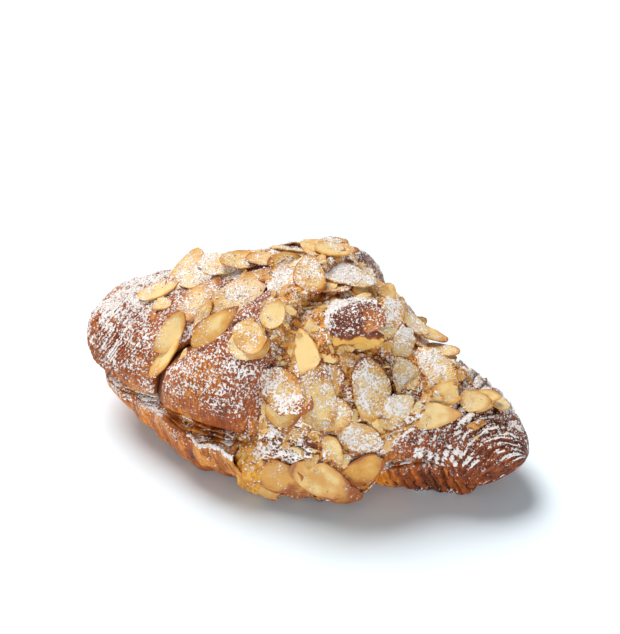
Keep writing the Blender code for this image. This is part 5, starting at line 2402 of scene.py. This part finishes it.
@dataclass
class Studio:
    """Pale floor, soft light and the camera at the photograph's angle."""

    azimuth: float = 22
    elevation: float = 42
    distance: float = 1.1  # metres
    scale: float = 0.35  # millimetres to a pixel at the target
    target: Triple = (0, 0, 25)
    target_pixel: Pair = (310, 372)
    sensor: float = 36
    floor_size: float = 6  # metres
    floor_colour: Colour = srgb(241, 250, 255)
    sky: Colour = (0.86, 0.94, 1)
    ambient: float = 0.26
    key: float = 3.38
    fill: float = 1.6
    fill_from: Triple = (0.32, -0.9, 0.22)
    fill_softness: float = 40  # degrees
    key_from: Triple = (-0.5, 0.34, 0.9)
    key_softness: float = 34  # degrees

    def camera(self) -> None:
        """Adds the camera."""
        a, e = math.radians(self.azimuth), math.radians(self.elevation)
        back = Vector((math.sin(a) * math.cos(e), -math.cos(a) * math.cos(e), math.sin(e)))
        data = bpy.data.cameras.new("camera")
        camera = bpy.data.objects.new("camera", data)
        bpy.context.scene.collection.objects.link(camera)
        data.sensor_width = self.sensor
        data.lens = self.sensor * self.distance / (PICTURE_HEIGHT * self.scale * MM)
        data.shift_x = -(self.target_pixel[0] - PICTURE_WIDTH / 2) / PICTURE_HEIGHT
        data.shift_y = (self.target_pixel[1] - PICTURE_HEIGHT / 2) / PICTURE_HEIGHT
        camera.location = Vector(self.target) * MM + back * self.distance
        camera.rotation_euler = (-back).to_track_quat("-Z", "Y").to_euler()
        bpy.context.scene.camera = camera

    def lights(self) -> None:
        """Adds the even light and the soft key light."""
        world = bpy.data.worlds.new("studio")
        world.use_nodes = True
        bpy.context.scene.world = world
        background = world.node_tree.nodes["Background"]
        background.inputs["Color"].default_value = (*self.sky, 1)
        background.inputs["Strength"].default_value = self.ambient
        self.sun("key", self.key, self.key_from, self.key_softness)
        self.sun("fill", self.fill, self.fill_from, self.fill_softness)

    def sun(self, name: str, strength: float, source: tuple, softness: float) -> None:
        """Adds a light from far away.

        Args:
            name, strength: Its name and how strong it is.
            source: The direction that it comes from.
            softness: How wide its source looks, in degrees.
        """
        data = bpy.data.lights.new(name, "SUN")
        data.energy = strength
        data.angle = math.radians(softness)
        light = bpy.data.objects.new(name, data)
        bpy.context.scene.collection.objects.link(light)
        light.rotation_euler = Vector(source).to_track_quat("Z", "Y").to_euler()

    def floor(self) -> None:
        """Adds the pale floor."""
        plane = added(bpy.ops.mesh.primitive_plane_add, size=self.floor_size, location=(0, 0, 0))
        plane.name = "floor"
        r = Recipe("floor", 0.9, 0.1)
        r.feed(r.shader.inputs["Base Color"], self.floor_colour)
        plane.data.materials.append(r.material)

    def build(self) -> None:
        """Sets up the whole studio."""
        self.floor()
        self.lights()
        self.camera()
        bpy.context.scene.view_settings.view_transform = "Standard"


def main() -> None:
    """Builds the croissant's pieces in order and reports each."""
    logging.basicConfig(level=logging.INFO, format="%(name)s: %(message)s")
    dusting = Dusting()
    upper_form = UpperForm()
    lower = LowerCrust(upper_form.lower, dusting).build()
    leaves = RimLeaves(upper_form, dusting).build()
    filling = Filling(upper_form, dusting).build()
    upper = UpperCrust(upper_form, dusting).build()
    spread, lump = Spread(SpreadForm(), dusting).build()
    on_crust, on_spread, hanging = AlmondSlices(upper_form, dusting).build(upper, spread, lump)
    crust_ground = Ground("crust", upper, Part.UPPER)
    spread_ground = Ground("spread", spread, Part.TOPPING)
    Crumbs(dusting).build(spread_ground, crust_ground, [on_crust, on_spread, hanging, lump])
    grounds = [
        crust_ground,
        spread_ground,
        Ground("lump", lump, Part.TOPPING),
        Ground("lower_crust", lower, Part.LOWER),
        Ground("torn_leaves", leaves, Part.LOWER),
        Ground("filling", filling, Part.FILLING),
        Ground("crust_almonds", on_crust, Part.UPPER),
        Ground("spread_almonds", on_spread, Part.TOPPING),
        Ground("hanging_almonds", hanging, Part.TOPPING),
    ]
    IcingSugar().build(grounds)
    Studio().build()


if __name__ == "__main__":
    main()
